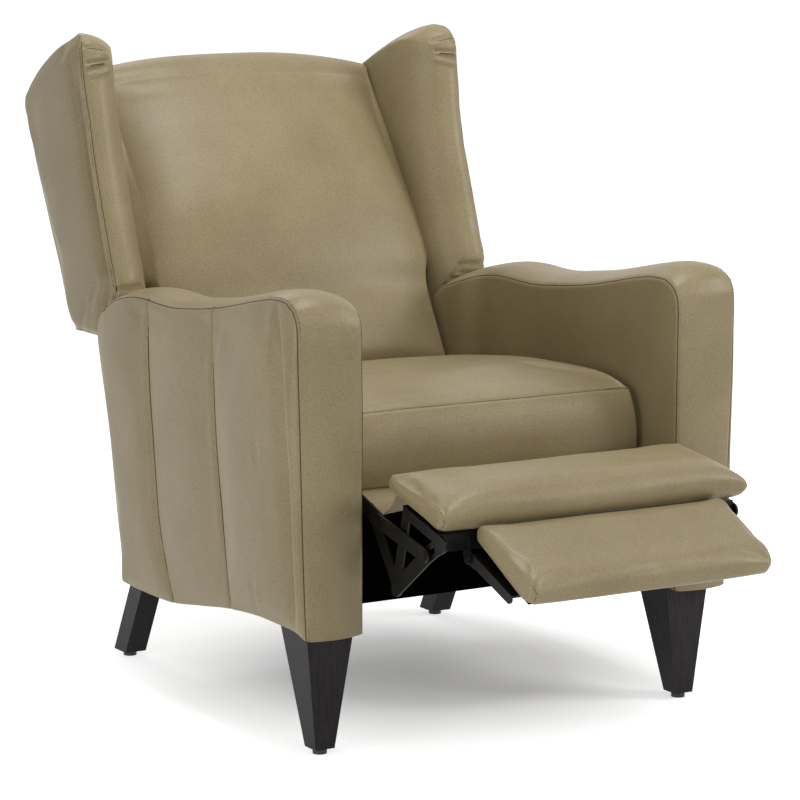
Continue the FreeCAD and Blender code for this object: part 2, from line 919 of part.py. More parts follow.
def cross_rail(label):
    """An angle between the two brackets, with an ear for each hinge of the extension."""
    body = new_body(label)
    leg = size("cross_rail_leg")
    top = size("cross_rail_z")
    front = -size("flipper_pivot_forward") + 3
    outline = [
        (front, top),
        (front + leg, top),
        (front + leg, top - plate),
        (front + plate, top - plate),
        (front + plate, top - leg),
        (front, top - leg),
    ]
    half = bracket_layer - 0.1
    sketch = new_sketch(body, "YZ_Plane", -half)
    add_outline(sketch, outline)
    pad_sketch(body, sketch, half * 2)
    ear = flipper_half + 10.6
    for side in (-1, 1):
        sketch = new_sketch(body, "YZ_Plane", ear * side)
        add_bar(sketch, (front + 2, top - 14), flipper_pivot, Dim(9))
        pad_sketch(body, sketch, plate, backward=side < 0)
    sketch = new_sketch(body, "YZ_Plane", 0)
    add_circle(sketch, flipper_pivot, pin_radius)
    cut_sketch(body, sketch, size("arm_gap"))
    return body


cross_rail("footrest_cross_rail")

board_half = size("pad_half_width") - 8
board_rear = size("pad_rear_forward") - 2
board_front = size("flipper_pivot_forward") - 31
profile_piece(
    "footrest_board",
    [[
        under_pad(board_rear, board_drop - 0.2),
        under_pad(board_rear, 0.2),
        under_pad(board_front, 0.2),
        under_pad(board_front, board_drop - 0.2),
    ]],
    -board_half, board_half,
)


def pad_station(x, profile):
    """A side profile at one x; the top and front are arcs and the rest is straight."""
    placed = [at(x, point[0], point[1]) for point in profile]
    rear_low, rear_top, top_middle, front_top, nose, front_low = placed
    return closed_wire(
        (rear_low, rear_top),
        (rear_top, top_middle, front_top),
        (front_top, nose, front_low),
        (front_low, rear_low),
    )


PAD_END = 0.92
PAD_STATIONS = (-1, -PAD_END, -0.5, 0, 0.5, PAD_END, 1)


def crowned_pad(half_width, profile, edge_draw, crown):
    """A pad lofted across the chair: drawn in at both ends and crowned between them."""
    stations = []
    middle_y = sum(point[0] for point in profile) / len(profile)
    low_rear = profile[0]
    low_front = profile[-1]
    slope = (low_front[1] - low_rear[1]) / (low_front[0] - low_rear[0])
    for share in PAD_STATIONS:
        pull = edge_draw * max(0, abs(share) - PAD_END) / (1 - PAD_END)
        lift = 1 - share ** 4
        shaped_profile = []
        for index, point in enumerate(profile):
            inward = pull if point[0] < middle_y else -pull
            rise = crown * lift if index == 2 else 0
            fall = pull if index in (1, 2, 3) else 0
            z = point[1] + inward * slope + rise - fall
            shaped_profile.append((point[0] + inward, z))
        stations.append(pad_station(half_width * share, shaped_profile))
    return Part.makeLoft(stations, True, True)


def footrest_pad(label):
    """The main pad, thin at the rear and thick at its front roll."""
    rear = pad_rear.value
    front = pad_front.value
    top = pad_top.value
    low_rear = under_pad(size("pad_rear_forward") - 8, 0)
    low_front = under_pad(pad_reach - 19, 0)
    profile = [
        (low_rear[0].value, low_rear[1].value),
        (rear, top - 1),
        ((rear + front) / 2, top + 1),
        (front + 12, top - 6),
        (front, top - 38),
        (low_front[0].value, low_front[1].value),
    ]
    return shaped(label, crowned_pad(size("pad_half_width").value, profile, 4, 5))


footrest_pad("footrest_pad")

# The extension pad hinges under the main pad's front and slopes down when open.

fall = math.atan(size("flipper_fall").value)
fall_cosine = math.cos(fall)
fall_sine = math.sin(fall)


def on_flipper(along, above):
    """A point of the extension, measured along its slope and square to it."""
    y = flipper_pivot[0] - as_dim(along) * fall_cosine - as_dim(above) * fall_sine
    z = flipper_pivot[1] - as_dim(along) * fall_sine + as_dim(above) * fall_cosine
    return (y, z)


flipper_seat = size("flipper_seat")
flipper_length = size("flipper_length")
hinge_layer = flipper_half + 6.8

for side_name, side in SIDES:
    flange = [
        on_flipper(6, flipper_seat - plate - 0.2),
        on_flipper(118, flipper_seat - plate - 0.2),
        on_flipper(118, flipper_seat - 0.2),
        on_flipper(6, flipper_seat - 0.2),
    ]
    bars = [
        (flipper_pivot, on_flipper(112, 2), 14),
        (flipper_pivot, on_flipper(14, 0), 18),
    ]
    steel_plate(
        side_name + "_extension_bracket", side, hinge_layer, bars,
        [(flipper_pivot, pin_hole)],
        flanges=[(flange, plate + size("flange_width"))],
    )

flipper_board_half = flipper_half - 4
board_top = flipper_seat + size("board_thick")
profile_piece(
    "extension_board",
    [[
        on_flipper(4, flipper_seat),
        on_flipper(flipper_length - 12, flipper_seat),
        on_flipper(flipper_length - 12, board_top),
        on_flipper(4, board_top),
    ]],
    -flipper_board_half, flipper_board_half,
)


def extension_pad(label):
    low = flipper_seat.value + size("board_thick").value + 0.2
    top = flipper_seat.value + size("flipper_thick").value
    length = flipper_length.value
    marks = [
        (1, low),
        (-1, top - 1),
        (length / 2, top + 2),
        (length - 4, top - 6),
        (length + 6, top - 22),
        (length - 8, low),
    ]
    profile = []
    for along, above in marks:
        point = on_flipper(along, above)
        profile.append((point[0].value, point[1].value))
    return shaped(label, crowned_pad(flipper_half.value, profile, 4, 4))


extension_pad("extension_pad")

# Back: two stiles and two rails, cushion, outside panel, wings and hinge brackets.

back_slope = size("back_slope")
back_line_y = back_pivot[0] + size("back_past_pivot")
back_low = size("back_low_z")
back_height = size("back_top_z") - back_low
outside_thick = size("outside_thick")
stile_rear_gap = outside_thick / 0.9 + 1
stile_run = size("stile_depth")


def back_line(z, forward=0):
    """A point at one height, a given distance in front of the back's rear surface."""
    y = back_line_y + (as_dim(z) - size("back_line_z")) * back_slope - forward
    return (y, as_dim(z))


stile_low = size("back_panel_low_z") + 30
stile_high = size("back_top_z") - 82
stile_outer = mount_layer + plate + 0.2
stile_inner = stile_outer - size("stile_thick")


def back_slab(low, high):
    """The side profile of a piece of the back's wooden frame."""
    near = stile_rear_gap
    far = stile_rear_gap + stile_run
    return [back_line(low, far), back_line(low, near), back_line(high, near), back_line(high, far)]


for side_name, side in SIDES:
    outline = back_slab(stile_low, stile_high)
    profile_piece("back_%s_stile" % side_name, [outline], stile_inner, stile_outer, side)
rail_half = stile_inner - 0.1
rail_height = size("back_rail_height")
foot_rail_low = back_low + rail_height / 4
top_outline = back_slab(stile_high - rail_height, stile_high)
foot_outline = back_slab(foot_rail_low, foot_rail_low + rail_height)
profile_piece("back_top_rail", [top_outline], -rail_half, rail_half)
profile_piece("back_bottom_rail", [foot_outline], -rail_half, rail_half)

for side_name, side in SIDES:
    stile_middle = stile_rear_gap + stile_run / 2
    upper = back_line(back_pivot[1] + 70, stile_middle)
    lower = back_line(seat_pivot[1] + 24, stile_middle)
    bars = [
        (back_pivot, seat_pivot, 26),
        (back_pivot, upper, 26),
        (seat_pivot, lower, 26),
        (upper, lower, 26),
    ]
    holes = [(back_pivot, pin_hole), (seat_pivot, pin_radius)]
    steel_plate(side_name + "_back_bracket", side, guide_layer, bars, holes)


def back_front(x, height_share, depth_share, puff, rise=0):
    """A point of the cushion's front, by its shares of the back's height and thickness."""
    height = back_low + back_height * height_share
    y, z = back_line(height, size("back_thick") * depth_share)
    return at(x, y - puff, z + rise)


def back_station(x, puff, rise):
    """A side profile of the back cushion: lumbar curve, crowned top, flat rear."""
    core_front = stile_rear_gap + stile_run + 0.3
    low_front = back_front(x, 0, 0.881, puff * 0.3)
    lumbar = back_front(x, 0.313, 0.998, puff)
    waist = back_front(x, 0.521, 1.0, puff)
    chest = back_front(x, 0.757, 0.855, puff)
    brow = back_front(x, 0.975, 0.697, puff * 0.7, rise * 0.6)
    crown = back_front(x, 1.017, 0.615, 0, rise)
    rear_top = back_front(x, 0.987, 0.285, 0)
    bend = back_line(stile_high + 6, core_front)
    rear_bend = at(x, bend[0], bend[1])
    foot = back_line(back_low, core_front)
    low_rear = at(x, foot[0], foot[1])
    return closed_wire(
        (low_rear, low_front),
        (low_front, lumbar, waist),
        (waist, chest, brow),
        (brow, crown, rear_top),
        (rear_top, rear_bend),
        (rear_bend, low_rear),
    )


def back_cushion(label):
    half = size("back_half_width").value
    puff = size("back_puff").value
    crown = size("back_crown").value
    stations = []
    for share in (-1, -0.88, -0.5, 0, 0.5, 0.88, 1):
        swell = 1 - share ** 2
        stations.append(back_station(half * share, puff * swell ** 0.6, crown * swell))
    return shaped(label, Part.makeLoft(stations, True, True))


back_cushion("back_cushion")


def outside_back(label):
    """The rear panel, turned forward over the top of the frame."""
    low = size("back_panel_low_z")
    bend = size("back_top_z") - 76
    top = size("back_top_z")
    thick = outside_thick / 0.9
    outline = [
        back_line(low),
        back_line(bend),
        back_line(bend + 26, 7),
        back_line(top - 26, 29),
        back_line(top - 12, 54),
        back_line(top - 23, 54),
        back_line(top - 35, 38),
        back_line(bend + 20, thick + 5),
        back_line(bend - 4, thick),
        back_line(low, thick),
    ]
    return profile_piece(label, [outline], -(stile_outer - 0.5), stile_outer - 0.5)


outside_back("outside_back")


def wing_station(height_share, front_share, rear_share, bend_share, flare_share):
    """A level section of the right wing: front roll, outer face, rear, inner face.

    The shares of the wing's depth are counted forward from the back's rear surface.
    """
    z = size("wing_low_z") + size("wing_height") * height_share
    depth = size("wing_depth")
    front = back_line(z, depth * front_share)[0].value
    rear = back_line(z, depth * rear_share)[0].value
    bend_y = back_line(z, depth * bend_share)[0].value
    z = z.value
    inner_x = (guide_layer + plate + size("wing_gap")).value
    outer_x = size("wing_outer").value
    flare_x = inner_x + size("wing_flare").value * flare_share
    roll = size("wing_roll").value
    inner_front = Vector(flare_x, front + roll, z)
    nose = Vector((flare_x + outer_x) / 2, front, z)
    outer_front = Vector(outer_x, front + roll, z)
    outer_rear = Vector(outer_x - 6, rear - 8, z)
    rear_corner = Vector(outer_x - 16, rear, z)
    inner_rear = Vector(inner_x, rear, z)
    inner_bend = Vector(inner_x, bend_y, z)
    return closed_wire(
        (inner_front, nose, outer_front),
        (outer_front, outer_rear),
        (outer_rear, rear_corner),
        (rear_corner, inner_rear),
        (inner_rear, inner_bend),
        (inner_bend, inner_front),
    )


def wing_form():
    """The right wing: it leans back with the panel and flares out to its front roll."""
    stations = [
        wing_station(0.000, 0.500, 0.021, 0.373, 0.12),
        wing_station(0.084, 0.597, 0.014, 0.479, 0.30),
        wing_station(0.179, 0.738, 0.014, 0.561, 0.55),
        wing_station(0.438, 0.793, 0.014, 0.605, 0.91),
        wing_station(0.717, 0.890, 0.028, 0.482, 1.00),
        wing_station(0.807, 0.928, 0.200, 0.460, 1.00),
        wing_station(0.952, 0.991, 0.716, 0.768, 1.00),
        wing_station(1.000, 1.000, 0.872, 0.908, 0.94),
    ]
    return Part.makeLoft(stations, True, True)


for side_name, side in SIDES:
    form = wing_form()
    shaped(side_name + "_wing", form if side > 0 else mirror_x(form))

# Leather flap that closes the gap between the seat and the open footrest pad.


def seat_flap(label):
    rear_y = seat_front.value - size("border_thick").value - 26
    thick = 3
    half = size("pad_half_width").value - 10
    low = seat_rail_z.value - 8
    near, near_z = under_pad(size("pad_rear_forward") - 5, 0.2 + thick)
    sag = Vector(half, (rear_y + near.value) / 2, low - 2)
    outer = (Vector(half, rear_y, low), sag, Vector(half, near.value, near_z.value))
    lift = Vector(0, 0, thick)
    inner = (outer[2] + lift, sag + lift, outer[0] + lift)
    wire = closed_wire(outer, (outer[2], inner[0]), inner, (inner[2], outer[0]))
    return shaped(label, Part.Face(wire).extrude(Vector(-2 * half, 0, 0)))


seat_flap("footrest_flap")

# Pins of the linkage, one node for each kind.

pin_pair("lift_pivot_pins", pin(lift_pivot, lift_layer, mount_layer + plate, True, True))
pin_pair("guide_pivot_pins", pin(guide_pivot, mount_layer, guide_layer + plate, False, True))
pin_pair("swing_low_pins", pin(swing_low, mount_layer, guide_layer + plate, False, True))
pin_pair("seat_hinge_pins", pin(seat_pivot, mount_layer, guide_layer + plate, True, True))
pin_pair("bracket_pins", pin(lift_end, lift_layer, bracket_layer + plate, True, False))
pin_pair("slot_pins", pin(guide_end, bracket_layer - 0.3, guide_layer + plate, True, True))
hinge_far = hinge_layer + plate * 2 + 0.6
pin_pair("extension_hinge_pins", pin(flipper_pivot, hinge_layer, hinge_far, True, True))

doc.recompute()

for thing in doc.Objects:
    broken = [word for word in thing.State if word in ("Invalid", "Error")]
    if broken:
        raise RuntimeError("%s (%s): %s" % (thing.Name, thing.Label, broken))
for node in nodes:
    if node.Shape.isNull() or not node.Shape.isValid():
        raise RuntimeError("bad shape: " + node.Label)

os.makedirs("parts", exist_ok=True)
for node in nodes:
    node.Shape.exportStep("parts/%s.step" % node.Label)
print("%d sub-parts" % len(nodes))
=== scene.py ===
import json
import math

import bmesh
import bpy
import numpy as np
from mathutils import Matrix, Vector, noise
from mathutils.bvhtree import BVHTree
from mathutils.kdtree import KDTree


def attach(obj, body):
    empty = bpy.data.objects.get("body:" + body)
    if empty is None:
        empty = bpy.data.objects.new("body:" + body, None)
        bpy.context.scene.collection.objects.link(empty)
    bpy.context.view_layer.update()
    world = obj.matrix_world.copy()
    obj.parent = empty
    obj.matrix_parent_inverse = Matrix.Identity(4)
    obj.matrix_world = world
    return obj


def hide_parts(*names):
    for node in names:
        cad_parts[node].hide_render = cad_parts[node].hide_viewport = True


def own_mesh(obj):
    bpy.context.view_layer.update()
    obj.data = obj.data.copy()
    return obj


# Dressing of a high leg wing recliner. Shapes are drawn in millimetres, with y counted
# from the line of the front legs, and turned into the frame's metres by to_frame.

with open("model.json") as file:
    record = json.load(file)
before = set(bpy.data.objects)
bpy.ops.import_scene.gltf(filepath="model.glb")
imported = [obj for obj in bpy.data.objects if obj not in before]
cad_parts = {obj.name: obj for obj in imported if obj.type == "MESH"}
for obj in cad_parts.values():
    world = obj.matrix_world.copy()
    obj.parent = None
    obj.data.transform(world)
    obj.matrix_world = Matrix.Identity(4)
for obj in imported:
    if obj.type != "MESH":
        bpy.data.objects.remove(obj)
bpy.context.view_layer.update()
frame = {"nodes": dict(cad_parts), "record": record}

MM = 0.001
SETBACK = 288.6
SIDES = (("left", -1), ("right", 1))
COLUMN_EASE = 0.6
ROW_EASE = 0.5


def to_frame(points):
    """Millimetres from the front legs' line to metres in the shared frame."""
    moved = np.array(points, dtype=float)
    moved[..., 1] -= SETBACK
    return moved * MM


def from_frame(points):
    """Metres in the shared frame to x, y and z in millimetres from the front legs' line."""
    x, y, z = points.T / MM
    return x, y + SETBACK, z


# Shares from 0 to 1.


def gathered(count, ease=0.0):
    """count + 1 shares from 0 to 1; ease gathers them towards both ends."""
    share = np.linspace(0, 1, count + 1)
    return share - ease * np.sin(2 * math.pi * share) / (2 * math.pi)


def rising(values, start, reach):
    """0 up to start, then growing to 1 within the reach."""
    return np.clip((values - start) / reach, 0, 1)


def soft_step(values, start, reach):
    """Like rising, with soft ends."""
    share = rising(values, start, reach)
    return share * share * (3 - 2 * share)


def channel(share, power=0.6):
    """0 at both edges of a sewn channel and 1 in its middle."""
    return np.clip(4 * share * (1 - share), 0, 1) ** power


def upright_fade(rows, top=10, bottom=8):
    """Fades a side panel's fullness out towards its top and bottom seams."""
    share = gathered(rows, ROW_EASE)
    return (1 - share ** top) * (1 - (1 - share) ** bottom)


# Lines and grids of points.


def smooth_line(points, steps=16):
    """A dense smooth line through the given points."""
    points = np.array(points, dtype=float)
    gaps = np.linalg.norm(np.diff(points, axis=0), axis=1)
    slopes = np.diff(points, axis=0) / gaps[:, None]
    tangents = np.empty_like(points)
    tangents[0] = slopes[0]
    tangents[-1] = slopes[-1]
    before = gaps[:-1, None]
    after = gaps[1:, None]
    tangents[1:-1] = (slopes[:-1] * after + slopes[1:] * before) / (before + after)
    share = np.linspace(0, 1, steps, endpoint=False)[:, None]
    runs = []
    for index, gap in enumerate(gaps):
        start_bend = (share ** 3 - 2 * share ** 2 + share) * tangents[index] * gap
        end_bend = (share ** 3 - share ** 2) * tangents[index + 1] * gap
        fade = 2 * share ** 3 - 3 * share ** 2
        run = (fade + 1) * points[index] - fade * points[index + 1] + start_bend + end_bend
        runs.append(run)
    runs.append(points[-1:])
    return np.vstack(runs)


def line_lengths(line):
    steps = np.linalg.norm(np.diff(line, axis=0), axis=1)
    return np.concatenate([[0], np.cumsum(steps)])


def spaced(line, count, ease=0.0):
    """count + 1 points along a dense line; ease gathers them towards both ends."""
    lengths = line_lengths(line)
    wanted = gathered(count, ease) * lengths[-1]
    columns = [np.interp(wanted, lengths, line[:, axis]) for axis in range(line.shape[1])]
    return np.stack(columns, axis=1)


def between(line, start, end):
    """The stretch of a dense line between the points nearest to start and end."""
    first = int(np.argmin(np.linalg.norm(line - start, axis=1)))
    last = int(np.argmin(np.linalg.norm(line - end, axis=1)))
    stretch = line[first:last + 1].copy()
    if len(stretch) < 2:
        stretch = np.array([start, end], dtype=float)
    stretch[0] = start
    stretch[-1] = end
    return stretch


def filled(front, rear, top, bottom):
    """A grid of points inside four edges that meet at their ends."""
    u = np.linspace(0, 1, len(top))[:, None, None]
    v = np.linspace(0, 1, len(front))[None, :, None]
    along = (1 - v) * bottom[:, None] + v * top[:, None]
    upward = (1 - u) * front[None, :] + u * rear[None, :]
    low = (1 - u) * bottom[0] + u * bottom[-1]
    high = (1 - u) * top[0] + u * top[-1]
    return along + upward - ((1 - v) * low + v * high)


def side_grid(guides, counts, rows, top=None, bottom=None, ease=COLUMN_EASE, row_ease=ROW_EASE):
    """A grid in (y, z) whose columns follow the upward guides, from front to rear.

    Its top and bottom run straight between the guides' ends where no line is given.
    """
    top = smooth_line([guide[-1] for guide in guides] if top is None else top)
    bottom = smooth_line([guide[0] for guide in guides] if bottom is None else bottom)
    lines = [spaced(smooth_line(guide), rows, row_ease) for guide in guides]
    for line in lines:
        line[0] = bottom[np.argmin(np.linalg.norm(bottom - line[0], axis=1))]
        line[-1] = top[np.argmin(np.linalg.norm(top - line[-1], axis=1))]
    panels = []
    for index, count in enumerate(counts):
        front = lines[index]
        rear = lines[index + 1]
        high = spaced(between(top, front[-1], rear[-1]), count, ease)
        low = spaced(between(bottom, front[0], rear[0]), count, ease)
        panel = filled(front, rear, high, low)
        panels.append(panel if index == 0 else panel[1:])
    return np.concatenate(panels, axis=0)


def with_x(grid, x):
    """A (y, z) grid as (x, y, z) points, at one x or at an x for each point."""
    column = np.broadcast_to(x, grid.shape[:2])
    return np.concatenate([column[..., None], grid], axis=2)


def rim(grid):
    """The edge of a grid as one ring: front, top, rear, bottom."""
    front = grid[0, :-1]
    top = grid[:-1, -1]
    rear = grid[-1, :0:-1]
    bottom = grid[:0:-1, 0]
    return np.concatenate([front, top, rear, bottom], axis=0)


def rim_values(grid, front, top, rear, bottom, blur=3):
    """One value for each rim point, eased over from each edge to the next."""
    columns = grid.shape[0] - 1
    rows = grid.shape[1] - 1
    values = np.repeat([float(front), top, rear, bottom], [rows, columns, rows, columns])
    for _ in range(blur):
        values = (np.roll(values, 1) + values + np.roll(values, -1)) / 3
    return values


def outward(ring):
    """Unit vectors that point out of a ring, in its (y, z) plane."""
    run = np.roll(ring, -1, axis=0) - np.roll(ring, 1, axis=0)
    out = np.stack([run[:, 1], -run[:, 0]], axis=1)
    out /= np.maximum(np.linalg.norm(out, axis=1, keepdims=True), 1e-9)
    middle = ring.mean(axis=0)
    if np.sum((ring - middle) * out) < 0:
        out = -out
    return out


# Meshes of stuffed covers.


def placed(name, data):
    """A new object in the scene."""
    made = bpy.data.objects.new(name, data)
    bpy.context.scene.collection.objects.link(made)
    return made


def new_object(name, points, faces, smooth=True):
    mesh = bpy.data.meshes.new(name)
    mesh.from_pydata(points, [], faces)
    mesh.update()
    mesh.polygons.foreach_set("use_smooth", [smooth] * len(mesh.polygons))
    return placed(name, mesh)


def grid_faces(columns, rows, start, closed=False):
    """Quads of a grid stored column by column; closed joins the last row to the first."""
    faces = []
    for column in range(columns - 1):
        for row in range(rows if closed else rows - 1):
            following = (row + 1) % rows
            low = start + column * rows
            high = low + rows
            faces.append((low + row, high + row, high + following, low + following))
    return faces


def stuffed(name, left, right, across, crown=None, middle=None, power=2.4, edge=0.35):
    """A closed cover from two side panels and the band between their rims.

    The band swells out between the rims, either by crown for each rim point or towards
    the middle ring of (y, z) points; edge gathers the band's rows towards the two seams.
    power, one value or one for each rim point, says how square the swelling is.
    """
    left_rim = rim(left)
    right_rim = rim(right)
    average = (left_rim[:, 1:] + right_rim[:, 1:]) / 2
    reach = outward(average) * crown[:, None] if middle is None else middle - average
    band = []
    for share in gathered(across, edge):
        row = left_rim * (1 - share) + right_rim * share
        swell = 1 - abs(2 * share - 1) ** np.broadcast_to(power, len(left_rim))
        row[:, 1:] += reach * swell[:, None]
        band.append(row)
    band = np.array(band)
    points = np.concatenate([left.reshape(-1, 3), right.reshape(-1, 3), band.reshape(-1, 3)])
    columns, rows = left.shape[:2]
    faces = grid_faces(columns, rows, 0)
    faces += grid_faces(columns, rows, columns * rows)
    faces += grid_faces(across + 1, len(left_rim), 2 * columns * rows, closed=True)
    piece = new_object(name, to_frame(points), faces)
    weld(piece)
    return piece


def spanning(name, grid, half, across, crown=None, **shape):
    """A stuffed cover that reaches as far to the left of the chair's middle as to the right."""
    return stuffed(name, with_x(grid, -half), with_x(grid, half), across, crown, **shape)


WELD_REACH = 0.00005


def weld(piece):
    """Joins points that lie together and turns every face outwards."""
    bm = bmesh.new()
    bm.from_mesh(piece.data)
    bmesh.ops.remove_doubles(bm, verts=bm.verts, dist=WELD_REACH)
    bmesh.ops.recalc_face_normals(bm, faces=bm.faces)
    bm.to_mesh(piece.data)
    bm.free()


def mirrored(piece, name):
    """The same cover for the other side of the chair."""
    twin = placed(name, piece.data.copy())
    twin.data.name = name
    write_points(twin, read_points(twin) * (-1, 1, 1))
    twin.data.flip_normals()
    return twin


def read_vectors(items, field):
    flat = np.empty(len(items) * 3)
    items.foreach_get(field, flat)
    return flat.reshape(-1, 3)


def read_points(piece):
    return read_vectors(piece.data.vertices, "co")


def read_normals(piece):
    return read_vectors(piece.data.vertex_normals, "vector")


def write_points(piece, points):
    piece.data.vertices.foreach_set("co", points.reshape(-1))
    piece.data.update()


def applied(piece, modifier):
    """Applies a modifier that was just added."""
    bpy.context.view_layer.objects.active = piece
    with bpy.context.temp_override(object=piece, active_object=piece):
        bpy.ops.object.modifier_apply(modifier=modifier.name)


def subdivided(piece):
    smoother = piece.modifiers.new("Smoother", "SUBSURF")
    smoother.levels = 1
    applied(piece, smoother)


CLOTH_FRAMES = 20
CLOTH_SETTINGS = {
    "quality": 5,
    "mass": 0.5,
    "tension_stiffness": 30,
    "compression_stiffness": 30,
    "shear_stiffness": 12,
    "bending_stiffness": 1.5,
    "use_pressure": True,
}


def evened(piece, moved, still, rounds):
    """Averages each free point's motion with its neighbours', which takes short creases out."""
    ends = np.array([tuple(edge.vertices) for edge in piece.data.edges])
    counts = np.bincount(ends.ravel(), minlength=len(moved))[:, None]
    for _ in range(rounds):
        total = np.zeros_like(moved)
        np.add.at(total, ends[:, 0], moved[ends[:, 1]])
        np.add.at(total, ends[:, 1], moved[ends[:, 0]])
        moved = total / counts
        moved[still] = 0
    return moved


def inflated(piece, held, pressure, cap, rounds=0):
    """Lets the cover swell over its filling as cloth; held is a test for sewn points."""
    start = read_points(piece)
    still = held(start)
    group = piece.vertex_groups.new(name="held")
    group.add([int(index) for index in np.nonzero(still)[0]], 1.0, "REPLACE")
    cloth = piece.modifiers.new("Cloth", "CLOTH")
    for name, value in CLOTH_SETTINGS.items():
        setattr(cloth.settings, name, value)
    cloth.settings.uniform_pressure_force = pressure
    cloth.settings.vertex_group_mass = "held"
    cloth.settings.effector_weights.gravity = 0
    cloth.collision_settings.use_collision = False
    cloth.point_cache.frame_start = 1
    cloth.point_cache.frame_end = CLOTH_FRAMES
    for step in range(1, CLOTH_FRAMES + 1):
        bpy.context.scene.frame_set(step)
    shown = piece.evaluated_get(bpy.context.evaluated_depsgraph_get())
    moved = read_points(shown) - start
    reach = np.maximum(np.linalg.norm(moved, axis=1, keepdims=True), 1e-9)
    moved *= np.minimum(1, cap / reach)
    piece.modifiers.remove(cloth)
    bpy.context.scene.frame_set(1)
    write_points(piece, start + evened(piece, moved, still, rounds))


# Sewing: grooves, stitches and wrinkles. Seams are in metres, dents and rumples in millimetres.

SEAM_REACH = 0.004
LAID_STEP = 0.004
CORD_STEP = 0.006


def on_cover(piece, line, step):
    """Points about every step along a line of the cover, with their normals."""
    tree = BVHTree.FromPolygons(
        [vertex.co for vertex in piece.data.vertices],
        [tuple(face.vertices) for face in piece.data.polygons],
    )
    count = max(2, int(line_lengths(line)[-1] / step))
    found = [tree.find_nearest(Vector(place)) for place in spaced(line, count)]
    return [hit[0] for hit in found], [hit[1] for hit in found]


def distance_to(points, line):
    """How far each point is from a line, and how far along the line its nearest place is."""
    dense = spaced(line, max(8, int(line_lengths(line)[-1] / 0.002)))
    tree = KDTree(len(dense))
    for index, place in enumerate(dense):
        tree.insert(place, index)
    tree.balance()
    found = [tree.find(point) for point in points]
    along = np.array([hit[1] for hit in found]) / (len(dense) - 1)
    away = np.array([hit[2] for hit in found])
    return away, along * line_lengths(dense)[-1]


def sewn(piece, line, depth, width, pucker=0.0):
    """Draws the cover in along a seam, with small puckers beside it."""
    places, _ = on_cover(piece, line, LAID_STEP)
    points = read_points(piece)
    away, along = distance_to(points, np.array(places))
    near = away < width * 4
    fall = np.exp(-(away[near] / width) ** 2)
    move = -depth * fall
    if pucker:
        ripple = np.array([noise.noise(Vector((share * 90, 3.1, 0.7))) for share in along[near]])
        reach = np.exp(-(away[near] / (width * 2.2)) ** 2) - fall
        move += pucker * ripple * reach
    points[near] += read_normals(piece)[near] * move[:, None]
    write_points(piece, points)


def dented(piece, center, size, depth, direction=None):
    """A soft dent or, with a negative depth, a soft bulge: size is its reach on each axis."""
    points = read_points(piece)
    share = (points - to_frame(center)) / (np.array(size, dtype=float) * MM)
    fall = np.exp(-np.sum(share ** 2, axis=1))
    push = read_normals(piece) if direction is None else np.array(direction, dtype=float)
    write_points(piece, points - push * (fall * depth * MM)[:, None])


def rumpled(piece, height, pitch, seed):
    """Uneven leather over soft filling."""
    points = read_points(piece)
    shift = Vector((seed * 7.3, seed * 1.9, seed * 4.1))
    waves = np.array([noise.noise(Vector(point) + shift) for point in points / (pitch * MM)])
    write_points(piece, points + read_normals(piece) * (waves * height * MM)[:, None])


THREAD_SIDES = 6
STITCH_PITCH = 0.0042
STITCH_LENGTH = 0.0028
STITCH_RADIUS = 0.00045


def thread_ring(center, side, normal, radius):
    """Points round a thread."""
    points = []
    for turn in range(THREAD_SIDES):
        angle = 2 * math.pi * turn / THREAD_SIDES
        points.append(center + (side * math.cos(angle) + normal * math.sin(angle)) * radius)
    return points


def thread_and_shade_piece(name, points, faces, cover):
    """A thread or seam-shade cord that goes with its cover: stitches are real thread, while the cords
    paint the shade in seams and folds.
    """
    piece = new_object(name, points, faces)
    piece.data.materials.append(THREAD)
    piece.parent = cover
    return piece


def stitches(name, cover, line, offset):
    """A row of short threads on the cover, offset sideways from a seam."""
    places, normals = on_cover(cover, line, STITCH_PITCH)
    points = []
    faces = []
    for index in range(len(places) - 1):
        run = (places[index + 1] - places[index]).normalized()
        normal = normals[index]
        side = run.cross(normal).normalized()
        center = places[index] + side * offset + normal * STITCH_RADIUS * 0.3
        start = len(points)
        points.append(center - run * STITCH_LENGTH / 2)
        for share in (-0.3, 0.3):
            points += thread_ring(center + run * STITCH_LENGTH * share, side, normal, STITCH_RADIUS)
        points.append(center + run * STITCH_LENGTH / 2)
        end = len(points) - 1
        for turn in range(THREAD_SIDES):
            low = start + 1 + turn
            low_next = start + 1 + (turn + 1) % THREAD_SIDES
            high = low + THREAD_SIDES
            high_next = low_next + THREAD_SIDES
            faces.append((start, low_next, low))
            faces.append((low, low_next, high_next, high))
            faces.append((high, high_next, end))
    thread_and_shade_piece(name, points, faces, cover)


def seam_shade_cord(name, cover, line, radius, sink=0.5):
    """A dark thread-coloured cord half sunk in the cover along a seam: it marks where two pieces of
    leather meet and paints the shade of the seam's groove.
    """
    places, normals = on_cover(cover, line, CORD_STEP)
    points = []
    for index, place in enumerate(places):
        ahead = places[min(index + 1, len(places) - 1)]
        behind = places[max(index - 1, 0)]
        normal = normals[index]
        side = (ahead - behind).normalized().cross(normal).normalized()
        points += thread_ring(place - normal * radius * sink, side, normal, radius)
    faces = [face[::-1] for face in grid_faces(len(places), THREAD_SIDES, 0, closed=True)]
    return thread_and_shade_piece(name, points, faces, cover)


# Materials.


def new_material(name, roughness, specular=0.5):
    material = bpy.data.materials.new(name)
    material.use_nodes = True
    shader = material.node_tree.nodes["Principled BSDF"]
    shader.inputs["Roughness"].default_value = roughness
    shader.inputs["Specular IOR Level"].default_value = specular
    return material, material.node_tree, shader


def fed(tree, kind, socket, source, values):
    """A new node with its values, one socket of which is fed by a source."""
    made = tree.nodes.new("ShaderNode" + kind)
    for name, value in values.items():
        made.inputs[name].default_value = value
    tree.links.new(source, made.inputs[socket])
    return made


